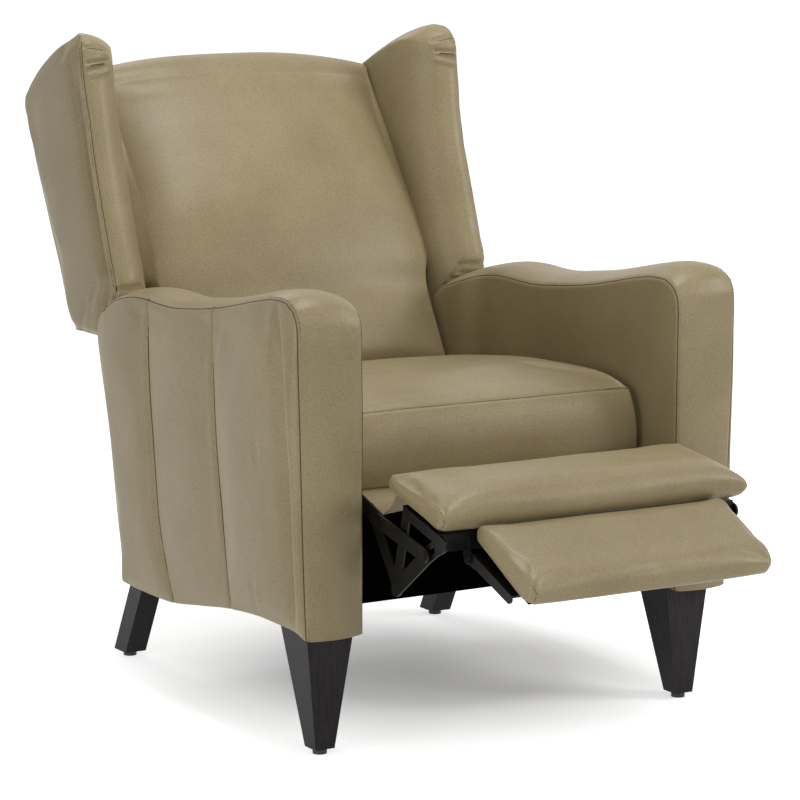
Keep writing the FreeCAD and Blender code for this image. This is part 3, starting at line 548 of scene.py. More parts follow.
def calculated(tree, operation, first, second):
    """Two values put together by a math node."""
    made = fed(tree, "Math", 0, first, {})
    made.operation = operation
    tree.links.new(second, made.inputs[1])
    return made.outputs[0]


def object_place(tree, stretch=(1, 1, 1)):
    """The place on the piece in metres, stretched for grain that runs one way."""
    place = tree.nodes.new("ShaderNodeTexCoord").outputs["Object"]
    return fed(tree, "Mapping", "Vector", place, {"Scale": stretch}).outputs["Vector"]


def noisy(tree, scale, detail, roughness=0.5, stretch=(1, 1, 1)):
    values = {"Scale": scale, "Detail": detail, "Roughness": roughness}
    return fed(tree, "TexNoise", "Vector", object_place(tree, stretch), values).outputs["Fac"]


def ramp(tree, value, *stops):
    """Turns a value into a colour; each stop is (value, colour)."""
    made = tree.nodes.new("ShaderNodeValToRGB")
    elements = made.color_ramp.elements
    while len(elements) < len(stops):
        elements.new(0.5)
    for element, (place, color) in zip(elements, stops):
        element.position = place
        element.color = (*color, 1)
    tree.links.new(value, made.inputs["Fac"])
    return made.outputs["Color"]


def grey(level):
    return (level,) * 3


def coloured(tree, shader, value, *stops):
    """Colours the shader by a value, between the colours of the stops."""
    tree.links.new(ramp(tree, value, *stops), shader.inputs["Base Color"])


def ranged(tree, value, low, high):
    return fed(tree, "MapRange", "Value", value, {"To Min": low, "To Max": high}).outputs["Result"]


def bumped(tree, shader, *layers):
    """Stacks bump nodes: each layer is (height socket, strength, distance in metres)."""
    previous = None
    for height, strength, distance in layers:
        bump = fed(tree, "Bump", "Height", height, {"Strength": strength, "Distance": distance})
        if previous is not None:
            tree.links.new(previous, bump.inputs["Normal"])
        previous = bump.outputs["Normal"]
    tree.links.new(previous, shader.inputs["Normal"])


def multiplied(tree, first, second):
    mixed = tree.nodes.new("ShaderNodeMix")
    mixed.data_type = "RGBA"
    mixed.blend_type = "MULTIPLY"
    mixed.inputs[0].default_value = 1.0
    tree.links.new(first, mixed.inputs[6])
    tree.links.new(second, mixed.inputs[7])
    return mixed.outputs[2]


LEATHER_DARK = (0.268, 0.212, 0.114)
LEATHER_MIDDLE = (0.297, 0.236, 0.130)
LEATHER_LIGHT = (0.325, 0.262, 0.148)
PORE_SHADE = (0.80, 0.80, 0.79)


def leather():
    """Olive tan leather: pebbled grain, faintly cloudy colour, satin shine."""
    material, tree, shader = new_material("olive_leather", 0.42, 0.30)
    clouds = noisy(tree, 7, 4, 0.6)
    color = ramp(tree, clouds, (0.3, LEATHER_DARK), (0.5, LEATHER_MIDDLE), (0.7, LEATHER_LIGHT))
    pattern = {"Scale": 400, "Randomness": 0.9}
    grain = fed(tree, "TexVoronoi", "Vector", object_place(tree), pattern)
    grain.feature = "DISTANCE_TO_EDGE"
    pebbles = ranged(tree, grain.outputs["Distance"], 0, 1)
    pores = ramp(tree, pebbles, (0.0, PORE_SHADE), (0.12, grey(1.0)))
    speckle = noisy(tree, 380, 3, 0.7, (0.7, 0.7, 1.6))
    shade = ramp(tree, speckle, (0.3, PORE_SHADE), (0.7, grey(1.11)))
    color = multiplied(tree, multiplied(tree, color, shade), pores)
    tree.links.new(color, shader.inputs["Base Color"])
    shine = ranged(tree, noisy(tree, 24, 3), 0.35, 0.46)
    tree.links.new(shine, shader.inputs["Roughness"])
    folds = noisy(tree, 45, 3)
    bumped(tree, shader, (folds, 0.18, 0.0012), (pebbles, 0.55, 0.00028), (speckle, 0.25, 0.00012))
    return material


# Thread colour, also given to the dark cords that paint shade in seams and folds.
def thread():
    material, tree, shader = new_material("dark_thread_and_seam_shade", 0.8, 0.1)
    twist = noisy(tree, 1500, 1)
    coloured(tree, shader, twist, (0.3, (0.055, 0.043, 0.024)), (0.7, (0.095, 0.076, 0.043)))
    return material


def stained_wood():
    """Espresso stain: fine grain that runs up the leg."""
    material, tree, shader = new_material("espresso_wood", 0.34, 0.1)
    grain = noisy(tree, 260, 6, 0.65, (1, 1, 0.08))
    coloured(tree, shader, grain, (0.3, (0.015, 0.013, 0.0135)), (0.7, (0.034, 0.030, 0.031)))
    tree.links.new(ranged(tree, grain, 0.30, 0.46), shader.inputs["Roughness"])
    bumped(tree, shader, (grain, 0.25, 0.0003))
    return material


def sawn_wood():
    material, tree, shader = new_material("sawn_wood", 0.7)
    grain = noisy(tree, 90, 6, 0.6, (1, 0.15, 1))
    coloured(tree, shader, grain, (0.3, (0.32, 0.21, 0.11)), (0.7, (0.52, 0.37, 0.22)))
    bumped(tree, shader, (grain, 0.3, 0.0005))
    return material


def black_board():
    material, tree, shader = new_material("black_board", 0.85, 0.0)
    fibres = noisy(tree, 300, 3, stretch=(1, 4, 4))
    coloured(tree, shader, fibres, (0.3, (0.0012, 0.0010, 0.0007)), (0.8, (0.003, 0.0024, 0.0016)))
    bumped(tree, shader, (fibres, 0.2, 0.0003))
    return material


def black_steel(name="black_steel", roughness=0.36):
    """Black powder coat with a fine orange peel."""
    material, tree, shader = new_material(name, roughness, 0.16)
    peel = noisy(tree, 700, 2)
    wear = noisy(tree, 45, 5, 0.7)
    coloured(tree, shader, wear, (0.35, (0.0045, 0.0042, 0.0042)), (0.75, (0.012, 0.011, 0.011)))
    tree.links.new(ranged(tree, wear, roughness - 0.08, roughness + 0.1), shader.inputs["Roughness"])
    bumped(tree, shader, (peel, 0.12, 0.0002))
    return material


def glide_plastic():
    material, tree, shader = new_material("glide_plastic", 0.5)
    scuffs = noisy(tree, 400, 4)
    coloured(tree, shader, scuffs, (0.3, grey(0.008)), (0.8, grey(0.022)))
    bumped(tree, shader, (scuffs, 0.15, 0.0002))
    return material


def strap_weave():
    material, tree, shader = new_material("strap_weave", 0.85)
    weave = {"Scale": 90, "Distortion": 0.4}
    waves = fed(tree, "TexWave", "Vector", object_place(tree), weave).outputs["Fac"]
    coloured(tree, shader, waves, (0.2, grey(0.02)), (0.8, grey(0.06)))
    bumped(tree, shader, (waves, 0.5, 0.0005))
    return material


LEATHER = leather()
THREAD = thread()

SLOT_FINISH = {
    "leg_wood": stained_wood(),
    "frame_wood": sawn_wood(),
    "black_board": black_board(),
    "glide_plastic": glide_plastic(),
    "webbing": strap_weave(),
    "black_steel": black_steel(),
    "bright_pin": black_steel("rivet_steel", 0.24),
    "leather": LEATHER,
}
LEG_EDGE_RADIUS = 0.0015


def finish_frame():
    """Gives every CAD node its finish, and eases the edges of the wooden legs."""
    for part in frame["record"]["subparts"]:
        shown = frame["nodes"][part["node"]]
        shown.data.materials.clear()
        shown.data.materials.append(SLOT_FINISH[part["material_slot"]])
        if part["node"].endswith("_leg"):
            bevel = shown.modifiers.new("Eased edges", "BEVEL")
            bevel.width = LEG_EDGE_RADIUS
            bevel.segments = 2
            bevel.limit_method = "ANGLE"


def covering(piece, body, *nodes):
    """Declares a leather piece: its finish, its body and the nodes that it stands for."""
    piece.data.materials.append(LEATHER)
    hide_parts(*nodes)
    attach(piece, body)


def upholstered(piece, body, fill, *nodes):
    """Declares a padded leather piece. fill, how full it is, is not used."""
    covering(piece, body, *nodes)


# Arms.

ARM_FRONT = [(-51, 187), (-50, 300), (-51, 450), (-51, 600), (-51, 642), (-48, 662), (-38, 677)]
ARM_TOP = [(-38, 677), (-20, 687), (10, 690), (69, 683), (133, 670), (183, 660), (276, 647),
           (363, 640), (407, 641), (443, 643), (489, 642), (537, 634), (574, 622), (604, 606)]
ARM_REAR = [(571, 158), (586, 267), (611, 443), (626, 530), (629, 566), (622, 590), (604, 606)]
ARM_INNER_REAR = [(571, 158), (588, 267), (626, 443), (646, 500), (652, 556), (644, 593)]
ARM_INNER_TOP = ARM_TOP[:-2] + [(574, 622), (610, 610), (644, 593)]
ARM_LOW = [(-51, 187), (-20, 192), (46, 194), (125, 195), (207, 188), (292, 175), (382, 162),
           (461, 158), (541, 157), (571, 158)]
ARM_ROLL = [(-24, 191), (-23, 300), (-20, 400), (-10, 540), (0, 640), (10, 690)]
ARM_FIRST = [(187, 190), (199, 275), (210, 370), (217, 452), (219, 570), (214, 655)]
ARM_SECOND = [(382, 162), (400, 205), (418, 256), (433, 378), (442, 500), (440, 600), (437, 643)]
ARM_GUIDES = [ARM_FRONT, ARM_ROLL, ARM_FIRST, ARM_SECOND, ARM_REAR]
ARM_COLUMNS = (7, 22, 22, 18)
ARM_FULLNESS = (8, 8, 7, 6)
ARM_ROWS = 56
ARM_FOOT_Z = 163.0
ARM_CREST_Z = 690.0
ARM_FOOT_X = 381.0
ARM_HEAD_X = 395.0
ARM_INNER_X = 283.0
ARM_INNER_DRAW = 1.8
ARM_INNER_FALL = 9.0
ARM_HINGE_X = 263.4
ROLL_CREASE_DEPTH = 11.0
ROLL_CREASE_BEHIND = 2.0
ROLL_CREASE_REACH = (9, 15)
CHANNEL_RIDGE = slice(-60, -14)
CHANNEL_CORD = slice(2, -16)
ARM_DENTS = ((70, 455, 6, 18, 2.2), (78, 440, 5, 14, -1.6), (95, 232, 5, 26, 2.8), (84, 230, 5, 22, -1.5))


def arm_height(z):
    """How high a point of the arm is, from 0 at its foot to 1 at its crest."""
    return rising(z, ARM_FOOT_Z, ARM_CREST_Z - ARM_FOOT_Z)


def arm_outer_x(z):
    return ARM_FOOT_X + (ARM_HEAD_X - ARM_FOOT_X) * arm_height(z)


def near_hinge(y, z):
    """1 at the arm's upper rear corner, whose inner side stands in towards the back."""
    return soft_step(y, 520, 45) * soft_step(z, 430, 36)


def arm_swell(grid, fade):
    """How far the sewn channels stand out, less the crease behind the arm's front."""
    swell = np.zeros(grid.shape[:2])
    start = 0
    for count, amount in zip(ARM_COLUMNS, ARM_FULLNESS):
        block = channel(gathered(count, COLUMN_EASE), 0.8)[:, None] * amount * fade
        swell[start:start + count + 1] = np.maximum(swell[start:start + count + 1], block)
        start += count
    behind = grid[..., 0] - grid[ARM_COLUMNS[0]:ARM_COLUMNS[0] + 1, :, 0] - ROLL_CREASE_BEHIND
    reach = np.where(behind < 0, *ROLL_CREASE_REACH)
    return swell - ROLL_CREASE_DEPTH * np.exp(-(behind / reach) ** 2) * fade


def arm_cover():
    grid = side_grid(ARM_GUIDES, ARM_COLUMNS, ARM_ROWS, ARM_TOP, ARM_LOW)
    fade = upright_fade(ARM_ROWS)[None, :]
    outer = with_x(grid, arm_outer_x(grid[..., 1]) + arm_swell(grid, fade))
    inner_guides = ARM_GUIDES[:-1] + [ARM_INNER_REAR]
    inner_grid = side_grid(inner_guides, ARM_COLUMNS, ARM_ROWS, ARM_INNER_TOP, ARM_LOW)
    inner_fade = channel(np.linspace(0, 1, grid.shape[0]), 0.3)[:, None] * fade
    inner_x = ARM_INNER_X - ARM_INNER_DRAW * inner_fade
    inner_x += (ARM_HINGE_X - inner_x) * near_hinge(inner_grid[..., 0], inner_grid[..., 1])
    inner_grid[..., 1] -= ARM_INNER_FALL * arm_height(grid[..., 1]) ** 3
    crown = rim_values(grid, front=7, top=15, rear=8, bottom=1, blur=8)
    cover = stuffed("right_arm_cover", with_x(inner_grid, inner_x), outer, 16, crown)
    inflated(cover, arm_held, pressure=2.5, cap=0.004)
    subdivided(cover)
    for line in (ARM_FIRST, ARM_SECOND):
        seam = arm_line(line)
        sewn(cover, seam, 0.0024, 0.0028)
        sewn(cover, seam[CHANNEL_RIDGE] + (0, 0.012, 0), -0.0010, 0.007)
    for line in (arm_edge(), arm_inner_edge()):
        sewn(cover, line, 0.0018, 0.0035, 0.0004)
    for y, z, along, up, depth in ARM_DENTS:
        dented(cover, (ARM_HEAD_X, y, z), (60, along, up), depth)
    for line in (ARM_FIRST, ARM_SECOND):
        y, z = line[-1]
        dented(cover, (392, y + 30, z - 26), (40, 26, 12), 1.6)
        dented(cover, (392, y - 34, z - 30), (40, 30, 10), 1.2)
    rumpled(cover, 1.1, 120, 1)
    return cover


def arm_held(points):
    """The arm's cover is held along its inner side and its outer seams."""
    held = from_frame(points)[0] < ARM_INNER_X + 1
    for line in (arm_edge(), arm_line(ARM_FIRST), arm_line(ARM_SECOND)):
        held |= distance_to(points, line)[0] < SEAM_REACH
    return held


def arm_line(line):
    """A (y, z) line of the arm's outer side as frame points."""
    return to_frame([(arm_outer_x(z), y, z) for y, z in smooth_line(line)])


def arm_rim(top):
    """A dense line up the arm's front and along its top."""
    return np.vstack([smooth_line(ARM_FRONT)[:-1], smooth_line(top)])


def arm_edge():
    """The outer seam that runs up the arm's front and along its top."""
    return to_frame([(arm_outer_x(z), y, z) for y, z in arm_rim(ARM_TOP)])


def arm_inner_edge():
    """The inner seam, which follows the arm's inner side behind the seat."""
    points = []
    for y, z in arm_rim(ARM_INNER_TOP):
        x = ARM_INNER_X + (ARM_HINGE_X - ARM_INNER_X) * near_hinge(y, z)
        points.append((x, y, z - ARM_INNER_FALL * arm_height(z) ** 3))
    return to_frame(points)


def arms():
    right = arm_cover()
    left = mirrored(right, "left_arm_cover")
    front_points = len(smooth_line(ARM_FRONT)) + 40
    for (side_name, side), cover in zip(SIDES, (left, right)):
        upholstered(cover, "base", 0.9, side_name + "_arm")
        to_side = (side, 1, 1)
        outer = arm_edge() * to_side
        # Dark cords along the arm's seams mark the joints and paint the shade in their grooves.
        seam_shade_cord(side_name + "_arm_outer_seam_shade", cover, outer, 0.0011)
        seam_shade_cord(side_name + "_arm_inner_seam_shade", cover, arm_inner_edge() * to_side, 0.0011)
        stitches(side_name + "_arm_front_stitches", cover, outer[:front_points], -0.0045 * side)
        # Dark cords along the channel seams mark the joints and paint the grooves' shade.
        for number, line in enumerate((ARM_FIRST, ARM_SECOND)):
            run = arm_line(line)[CHANNEL_CORD] * to_side
            label = "%s_arm_channel_seam_%d" % (side_name, number)
            seam_shade_cord(label, cover, run, 0.0010, sink=0.3)


# Wings.

WING_FRONT = [(660, 549), (644, 590), (628, 635), (647, 693), (674, 766), (699, 840), (717, 914),
              (729, 978), (732, 1010), (741, 1034)]
WING_TOP = [(741, 1034), (752, 1044), (768, 1048), (805, 1033), (846, 1014), (922, 971), (957, 945),
            (972, 930)]
WING_REAR = [(784, 547), (800, 564), (828, 602), (860, 666), (899, 738), (945, 832), (970, 893),
             (976, 914), (972, 930)]
WING_LOW = [(660, 549), (725, 547), (784, 547)]
WING_CREASE = [(700, 545), (684, 590), (672, 635), (688, 693), (714, 766), (740, 840), (758, 914),
               (770, 978), (776, 1010), (786, 1041)]
WING_INNER_FRONT = [(676, 549), (658, 590), (641, 635), (662, 693), (690, 766), (715, 840), (733, 914),
                    (745, 978), (746, 1000), (750, 1014)]
WING_INNER_BEND = [(742, 546), (734, 590), (730, 637), (752, 693), (782, 766), (812, 840),
                   (846, 915), (866, 960), (880, 983)]
WING_INNER_TOP = [(750, 1014), (772, 1023), (802, 1017), (842, 1001), (880, 983), (922, 964), (957, 942),
                  (972, 930)]
WING_INNER_LOW = [(676, 549), (742, 547), (784, 547)]
WING_COLUMNS = (14, 24)
WING_ROWS = 60
WING_OUTER_X = 358.0
WING_BAND_X = 330.0
WING_LIP_X = 301.0
WING_INNER_X = 269.0
WING_LIP = 3.0
WING_PLUMP = 3.0
WING_VALLEY = 18.0
WING_VALLEY_BEHIND = 27.0
WING_PLEATS = ((738, 1026, 0.10), (724, 1003, -0.06), (722, 990, -0.14))
# Two of the pleats get a dark cord along the fold: painted shade in the fold.
WING_PLEAT_SHADE_CORDS = ((724, 1003, -0.06), (737, 1026, 0.10))
WING_CRUMPLES = ((634, 636, 0.0040), (640, 624, 0.0030), (652, 612, 0.0035), (668, 600, 0.0025))
WING_FOLDS = ((690, 640), (730, 600))


def wing_outer():
    """The outer side panel: a lip along its front, a valley behind that and a plump middle."""
    guides = [WING_FRONT, WING_CREASE, WING_REAR]
    grid = side_grid(guides, WING_COLUMNS, WING_ROWS, WING_TOP, WING_LOW, ease=0.35)
    behind = grid[..., 0] - grid[:1, :, 0]
    lip = WING_LIP * np.sin(math.pi * rising(behind, 0, 22))
    steep = np.where(behind < WING_VALLEY_BEHIND, 9, 13)
    valley = WING_VALLEY * np.exp(-((behind - WING_VALLEY_BEHIND) / steep) ** 2)
    plump = WING_PLUMP * channel(rising(behind, 50, 150), 0.8)
    fade = upright_fade(WING_ROWS, 12, 9)[None, :]
    return with_x(grid, wing_outer_x(grid[..., 1]) + (lip - valley + plump) * fade)


def wing_inner():
    """The inner side panel, which leans in from the lip to the back."""
    guides = [WING_INNER_FRONT, WING_INNER_BEND, WING_REAR]
    grid = side_grid(guides, WING_COLUMNS, WING_ROWS, WING_INNER_TOP, WING_INNER_LOW, ease=0.2)
    share = np.clip(np.arange(grid.shape[0]) / WING_COLUMNS[0], 0, 1)
    lean = (WING_LIP_X - WING_INNER_X) * (1 - share) ** 1.7
    height = np.clip((grid[..., 1] - 535) / 110, 0.12, 1)
    return with_x(grid, WING_INNER_X + lean[:, None] * height)


def wing_cover():
    outer = wing_outer()
    crown = rim_values(outer, front=15, top=9, rear=2, bottom=3, blur=6)
    cover = stuffed("right_wing_cover", wing_inner(), outer, 16, crown, power=2.2)
    inflated(cover, wing_held, pressure=2.0, cap=0.004)
    subdivided(cover)
    sewn(cover, wing_seam(), 0.0016, 0.0035, 0.001)
    for y, z, lean in WING_PLEATS:
        sewn(cover, pleat_line(308, 360, 14, y, z, lean), 0.0045, 0.0032)
        sewn(cover, pleat_line(308, 360, 14, y, z - 6, lean), -0.0022, 0.0045)
    for y, z, depth in WING_CRUMPLES:
        fold = [(x, y + (x - WING_BAND_X) * 0.3, z) for x in np.linspace(300, 362, 16)]
        sewn(cover, to_frame(fold), depth, 0.004)
    for y, z in WING_FOLDS:
        fold = [(362, y + share * 26, z - share * 46) for share in np.linspace(0, 1, 10)]
        sewn(cover, to_frame(fold), 0.0016, 0.008)
    dented(cover, (350, 800, 556), (30, 40, 6), 2.5)
    rumpled(cover, 1.0, 110, 2)
    return cover


def wing_outer_x(z):
    """The wing's outer seam leans out towards its top, where its corner is rounded."""
    return WING_OUTER_X + 5 * rising(z, 900, 90) - 10 * rising(z, 1012, 34) ** 2


def pleat_line(start, end, count, y, z, lean):
    """A gathered fold across the wing's front band, between two values of x."""
    places = np.linspace(start, end, count)
    return to_frame([(x, y - 10, z + lean * (x - WING_BAND_X)) for x in places])


def wing_seam():
    return to_frame([(wing_outer_x(z), y, z) for y, z in smooth_line(WING_FRONT)])


def wing_held(points):
    """The wing's cover is held along its inner side and its front seam."""
    near_seam = distance_to(points, wing_seam())[0] < SEAM_REACH
    return near_seam | (from_frame(points)[0] < WING_INNER_X + 1.5)


def wings():
    right = wing_cover()
    left = mirrored(right, "left_wing_cover")
    for (side_name, side), cover in zip(SIDES, (left, right)):
        upholstered(cover, "back", 0.9, side_name + "_wing")
        to_side = (side, 1, 1)
        seam = wing_seam() * to_side
        # A dark cord along the wing's front seam marks the joint and paints its groove's shade.
        seam_shade_cord(side_name + "_wing_seam_shade", cover, seam, 0.0009)
        stitches(side_name + "_wing_stitches", cover, seam[4:-4], 0.004 * side)
        for number, (y, z, lean) in enumerate(WING_PLEAT_SHADE_CORDS):
            # A dark cord in the pleat's fold is painted shade.
            fold = pleat_line(322, 355, 8, y, z, lean) * to_side
            seam_shade_cord("%s_wing_pleat_%d" % (side_name, number), cover, fold, 0.0011, sink=0.45)


# Back.

BACK_HALF = 257.0
BACK_FRONT = [(590, 481), (611, 520), (634, 560), (653, 594), (675, 656), (722, 740), (784, 827),
              (848, 915), (868, 948)]
BACK_TOP = [(868, 948), (881, 966), (903, 973), (930, 967), (946, 952)]
BACK_REAR = [(716, 490), (818, 700), (915, 900), (946, 952)]
BACK_LOW = [(590, 481), (660, 487), (716, 490)]
BACK_FLANK = 32.0
BACK_HEIGHTS = (612, 640, 700, 780, 860, 940)
BACK_WIDER = (0, 5, 0, -5, -4, 0)
BACK_CROWN = ((600, 660, 740, 830, 915), (27, 31, 37, 37, 32))
BACK_TOP_CROWN = 27
BACK_FOOT_DRAW = 2.0
BACK_SEWN_Y = 686.0
BACK_SEWN_Z = 490.0


def back_cover():
    grid = side_grid([BACK_FRONT, BACK_REAR], (16,), 60, BACK_TOP, BACK_LOW, row_ease=0.3)
    z = grid[..., 1]
    behind = np.linalg.norm(grid - grid[:1], axis=2)
    flank = BACK_FLANK * rising(behind, 0, 40) * rising(z, 606, 34) * (1 - rising(z, 860, 90) * 0.5)
    flank -= BACK_FOOT_DRAW * (1 - rising(z, 560, 90))
    flank += np.interp(z, BACK_HEIGHTS, BACK_WIDER)
    crown = rim_values(grid, 1, 0, 0, 0, blur=5) * np.interp(rim(grid)[:, 1], *BACK_CROWN)
    crown += rim_values(grid, 0, BACK_TOP_CROWN, 0, 0, blur=5)
    power = rim_values(grid, front=6, top=2.5, rear=4, bottom=4, blur=5)
    cover = spanning("back_cover", grid, BACK_HALF + flank, 60, crown, power=power, edge=0.7)
    inflated(cover, back_held, pressure=3.0, cap=0.008, rounds=16)
    subdivided(cover)
    rumpled(cover, 1.0, 150, 3)
    upholstered(cover, "back", 0.8, "back_cushion")


def back_held(points):
    """The back's cover is sewn down along its rear, its foot and both sides."""
    x, y, z = from_frame(points)
    behind = y > BACK_SEWN_Y + (z - BACK_SEWN_Z) / 2
    return behind | (z < BACK_SEWN_Z + 5) | (abs(x) > BACK_HALF - 1.5)


REAR_FOOT = (806.0, 550.0)
REAR_SLOPE = 0.4841


def rear_line(z, forward):
    """A point of the back's side view, a given way in front of its rear surface."""
    return (REAR_FOOT[0] + (z - REAR_FOOT[1]) * REAR_SLOPE - forward, z)


STILE_INNER_X = 233.3
STILE_OUTER_X = 264.8
STILE_FRONT = 61.0
STILE_REAR = 12.2


def stile_wraps():
    """Leather wrapped round the lower ends of the back's stiles, which show beside the arms."""
    heights = np.linspace(358, 566, 6)
    front = [rear_line(z, STILE_FRONT) for z in heights]
    rear = [rear_line(z, STILE_REAR) for z in heights]
    grid = side_grid([front, rear], (8,), 30)
    crown = rim_values(grid, 1.2, 0, 0, 1.2, blur=2)
    for side_name, side in SIDES:
        inner = with_x(grid, side * STILE_INNER_X)
        outer = with_x(grid, side * STILE_OUTER_X)
        wrap = stuffed(side_name + "_stile_wrap", inner, outer, 6, crown)
        rumpled(wrap, 0.4, 60, 9)
        upholstered(wrap, "back", 0.95)


OUTSIDE_HALF = 262.5
OUTSIDE_HEIGHTS = (331, 500, 700, 880)


def outside_cover():
    """The rear panel, turned forward over the top of the frame."""
    rear = [rear_line(z, 1) for z in OUTSIDE_HEIGHTS] + [rear_line(918, 5), rear_line(945, 28)]
    front = [rear_line(z, 13) for z in OUTSIDE_HEIGHTS] + [rear_line(915, 19), rear_line(934, 37)]
    top = [front[-1], rear_line(948, 50), rear_line(956, 46), rear[-1]]
    grid = side_grid([front, rear], (4,), 60, top)
    crown = rim_values(grid, 0, 2, 6, 0, blur=2)
    cover = spanning("outside_back_cover", grid, OUTSIDE_HALF, 50, crown, power=4)
    subdivided(cover)
    rumpled(cover, 0.9, 140, 4)
    upholstered(cover, "back", 0.9, "outside_back")
    for side_name, side in SIDES:
        line = to_frame([(side * (OUTSIDE_HALF - 5), y + 1, z) for y, z in smooth_line(rear)])
        stitches("outside_back_stitches_" + side_name, cover, line, 0)


# Seat.

SEAT_HALF = 267.0
SEAT_REAR_DRAW = 6.0
SEAT_FRONT = [(62.6, 456), (62.4, 492), (57, 500)]
SEAT_TOP = [(57, 500), (78, 511), (108, 518), (150, 520), (230, 517), (304, 511), (430, 500),
            (560, 484), (600, 479), (652, 477)]
SEAT_REAR = [(655, 456), (657, 468), (652, 477)]


def seat_cover():
    grid = side_grid([SEAT_FRONT, SEAT_REAR], (54,), 7, SEAT_TOP, ease=0.3)
    crown = rim_values(grid, 0, 7, 2, 0, blur=2)
    crown *= 1 - 0.8 * rising(rim(grid)[:, 0], 480, 90)
    half = SEAT_HALF - SEAT_REAR_DRAW * rising(grid[..., 0], 440, 100)
    cover = spanning("seat_cover", grid, half, 54, crown, power=3, edge=0.4)
    inflated(cover, seat_held, pressure=3.0, cap=0.006)
    subdivided(cover)
    rumpled(cover, 1.6, 130, 5)
    upholstered(cover, "seat", 0.8, "seat_cushion")


def seat_held(points):
    """The seat's cover is sewn down at its foot, along the front seam and at its rear."""
    _, y, z = from_frame(points)
    return (z < 462) | (y < 60) | (y > 600)


BORDER_HALF = 266.0
BORDER_SPREAD = 4.0
BORDER_FRONT = [(40, 387), (35.5, 420), (38, 460), (46, 484), (55, 499)]
BORDER_REAR = [(61.8, 397), (61.8, 499)]


def border_cover():
    grid = side_grid([BORDER_FRONT, BORDER_REAR], (3,), 26)
    wide = BORDER_HALF + BORDER_SPREAD * (1 - rising(grid[..., 1], 430, 60))
    crown = rim_values(grid, 7, 0, 0, 0, blur=1)
    cover = spanning("border_cover", grid, wide, 52, crown, power=7, edge=0.6)
    subdivided(cover)
    rumpled(cover, 1.0, 90, 6)
    upholstered(cover, "seat", 0.9, "seat_front_border")
    seam_half = BORDER_HALF - 3
    seam = to_frame([(x, 54, 499) for x in np.linspace(-seam_half, seam_half, 60)])
    stitches("seat_front_stitches", cover, seam, -0.004)
    # A dark cord along the seat's front seam marks the joint and paints its groove's shade.
    seam_shade_cord("seat_front_seam_shade", cover, seam, 0.0011)


# Footrest pads and flap. The extension's marks run along it and square to it.

PAD_COLUMNS = 24
PAD_ROWS = 12
PAD_BULGE = 8
PAD_HALF = 259.0
PAD_KEEP = 0.945
PAD_END = {
    "front": [(-236, 373), (-249, 379), (-256, 389), (-254, 401), (-244, 408)],
    "top": [(-244, 408), (-200, 415), (-147, 423), (-104, 431), (-92, 433)],
    "rear": [(-88, 411), (-82, 421), (-92, 433)],
}
PAD_MIDDLE = {
    "front": [(-240, 372.5), (-253, 380), (-261, 394), (-259, 412), (-248, 427)],
    "top": [(-248, 427), (-234, 433), (-205, 437), (-150, 439), (-118, 438), (-103, 433)],
    "rear": [(-91, 411.5), (-93, 422), (-103, 433)],
}
FLIPPER_FALL = math.atan(0.404)
FLIPPER_PIVOT = (-238.0, 330.0)
FLIPPER_HALF = 204.0
FLIPPER_FLARE = 8.0
FLIPPER_END = {
    "front": [(144, 15), (154, 18), (159, 28), (158, 42), (150, 50)],
    "top": [(150, 50), (140, 53), (100, 55), (45, 57), (12, 57), (0, 53)],
    "rear": [(2, 30), (-4, 42), (0, 53)],
}
FLIPPER_MIDDLE = {
    "front": [(144, 15), (156, 18), (162, 29), (160, 42), (150, 50)],
    "top": [(150, 50), (138, 54), (100, 57), (45, 59), (12, 58), (0, 54)],
    "rear": [(1, 17), (-4, 36), (0, 54)],
}


def pad_profile(lines):
    guides = [lines["front"], lines["rear"]]
    return side_grid(guides, (PAD_COLUMNS,), PAD_ROWS, lines["top"], ease=0.3)


def on_flipper(lines):
    """Turns marks along the extension and square to it into (y, z) points."""
    cosine = math.cos(FLIPPER_FALL)
    sine = math.sin(FLIPPER_FALL)
    turn = [(-cosine, -sine), (-sine, cosine)]
    return {edge: np.array(marks) @ turn + FLIPPER_PIVOT for edge, marks in lines.items()}


def pressed(piece, keep):
    """Gives a pad's piece a mesh of its own when keep is below 1."""
    if keep < 1:
        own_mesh(piece)


def pad_cover(node_name, body, end, middle, half, seed, rear_flare, corner_flare, keep):
    """A footrest pad: full in the middle, thin at its ends, with sewn front corners."""
    name = node_name + "_cover"
    along = np.linspace(0, 1, PAD_COLUMNS + 1)[:, None]
    upward = np.linspace(0, 1, PAD_ROWS + 1)[None, :]
    reach = half + rear_flare * along + channel(along, 0.45) * channel(upward, 0.45) * PAD_BULGE
    grid = pad_profile(end)
    ring = rim(pad_profile(middle))
    cover = spanning(name, grid, reach, 64, middle=ring, power=9, edge=0.75)
    front_y, front_z = middle["front"][0]
    rear_y, rear_z = middle["rear"][0]
    slope = (rear_z - front_z) / (rear_y - front_y)

    def held(points):
        """The cover is stapled to the board under it."""
        _, y, z = from_frame(points)
        return z < front_z + (y - front_y) * slope + 2.5

    inflated(cover, held, pressure=3.0, cap=0.003)
    subdivided(cover)
    corner_y, corner_z = end["front"][2]
    for _, side in SIDES:
        sewn(cover, pad_corner(end, side * (half + 1)), 0.0022, 0.0035, 0.0015)
        dented(cover, (side * (half + 4), corner_y, corner_z), (26, 34, 20), -corner_flare, (side, 0, 0))
    rumpled(cover, 1.0, 80, seed)
    upholstered(cover, body, 0.85, node_name)
    for side_name, side in SIDES:
        corner = pad_corner(end, side * (half + corner_flare))
        # A dark cord along each front corner marks the seam and paints its groove's shade.
        cord = seam_shade_cord("%s_corner_seam_%s" % (name, side_name), cover, corner, 0.0008, sink=0.7)
        pressed(cord, keep)
    pressed(cover, keep)


def pad_corner(end, x):
    """The line of a pad's front corner, at one x."""
    return to_frame([(x, y, z) for y, z in smooth_line(end["front"])])


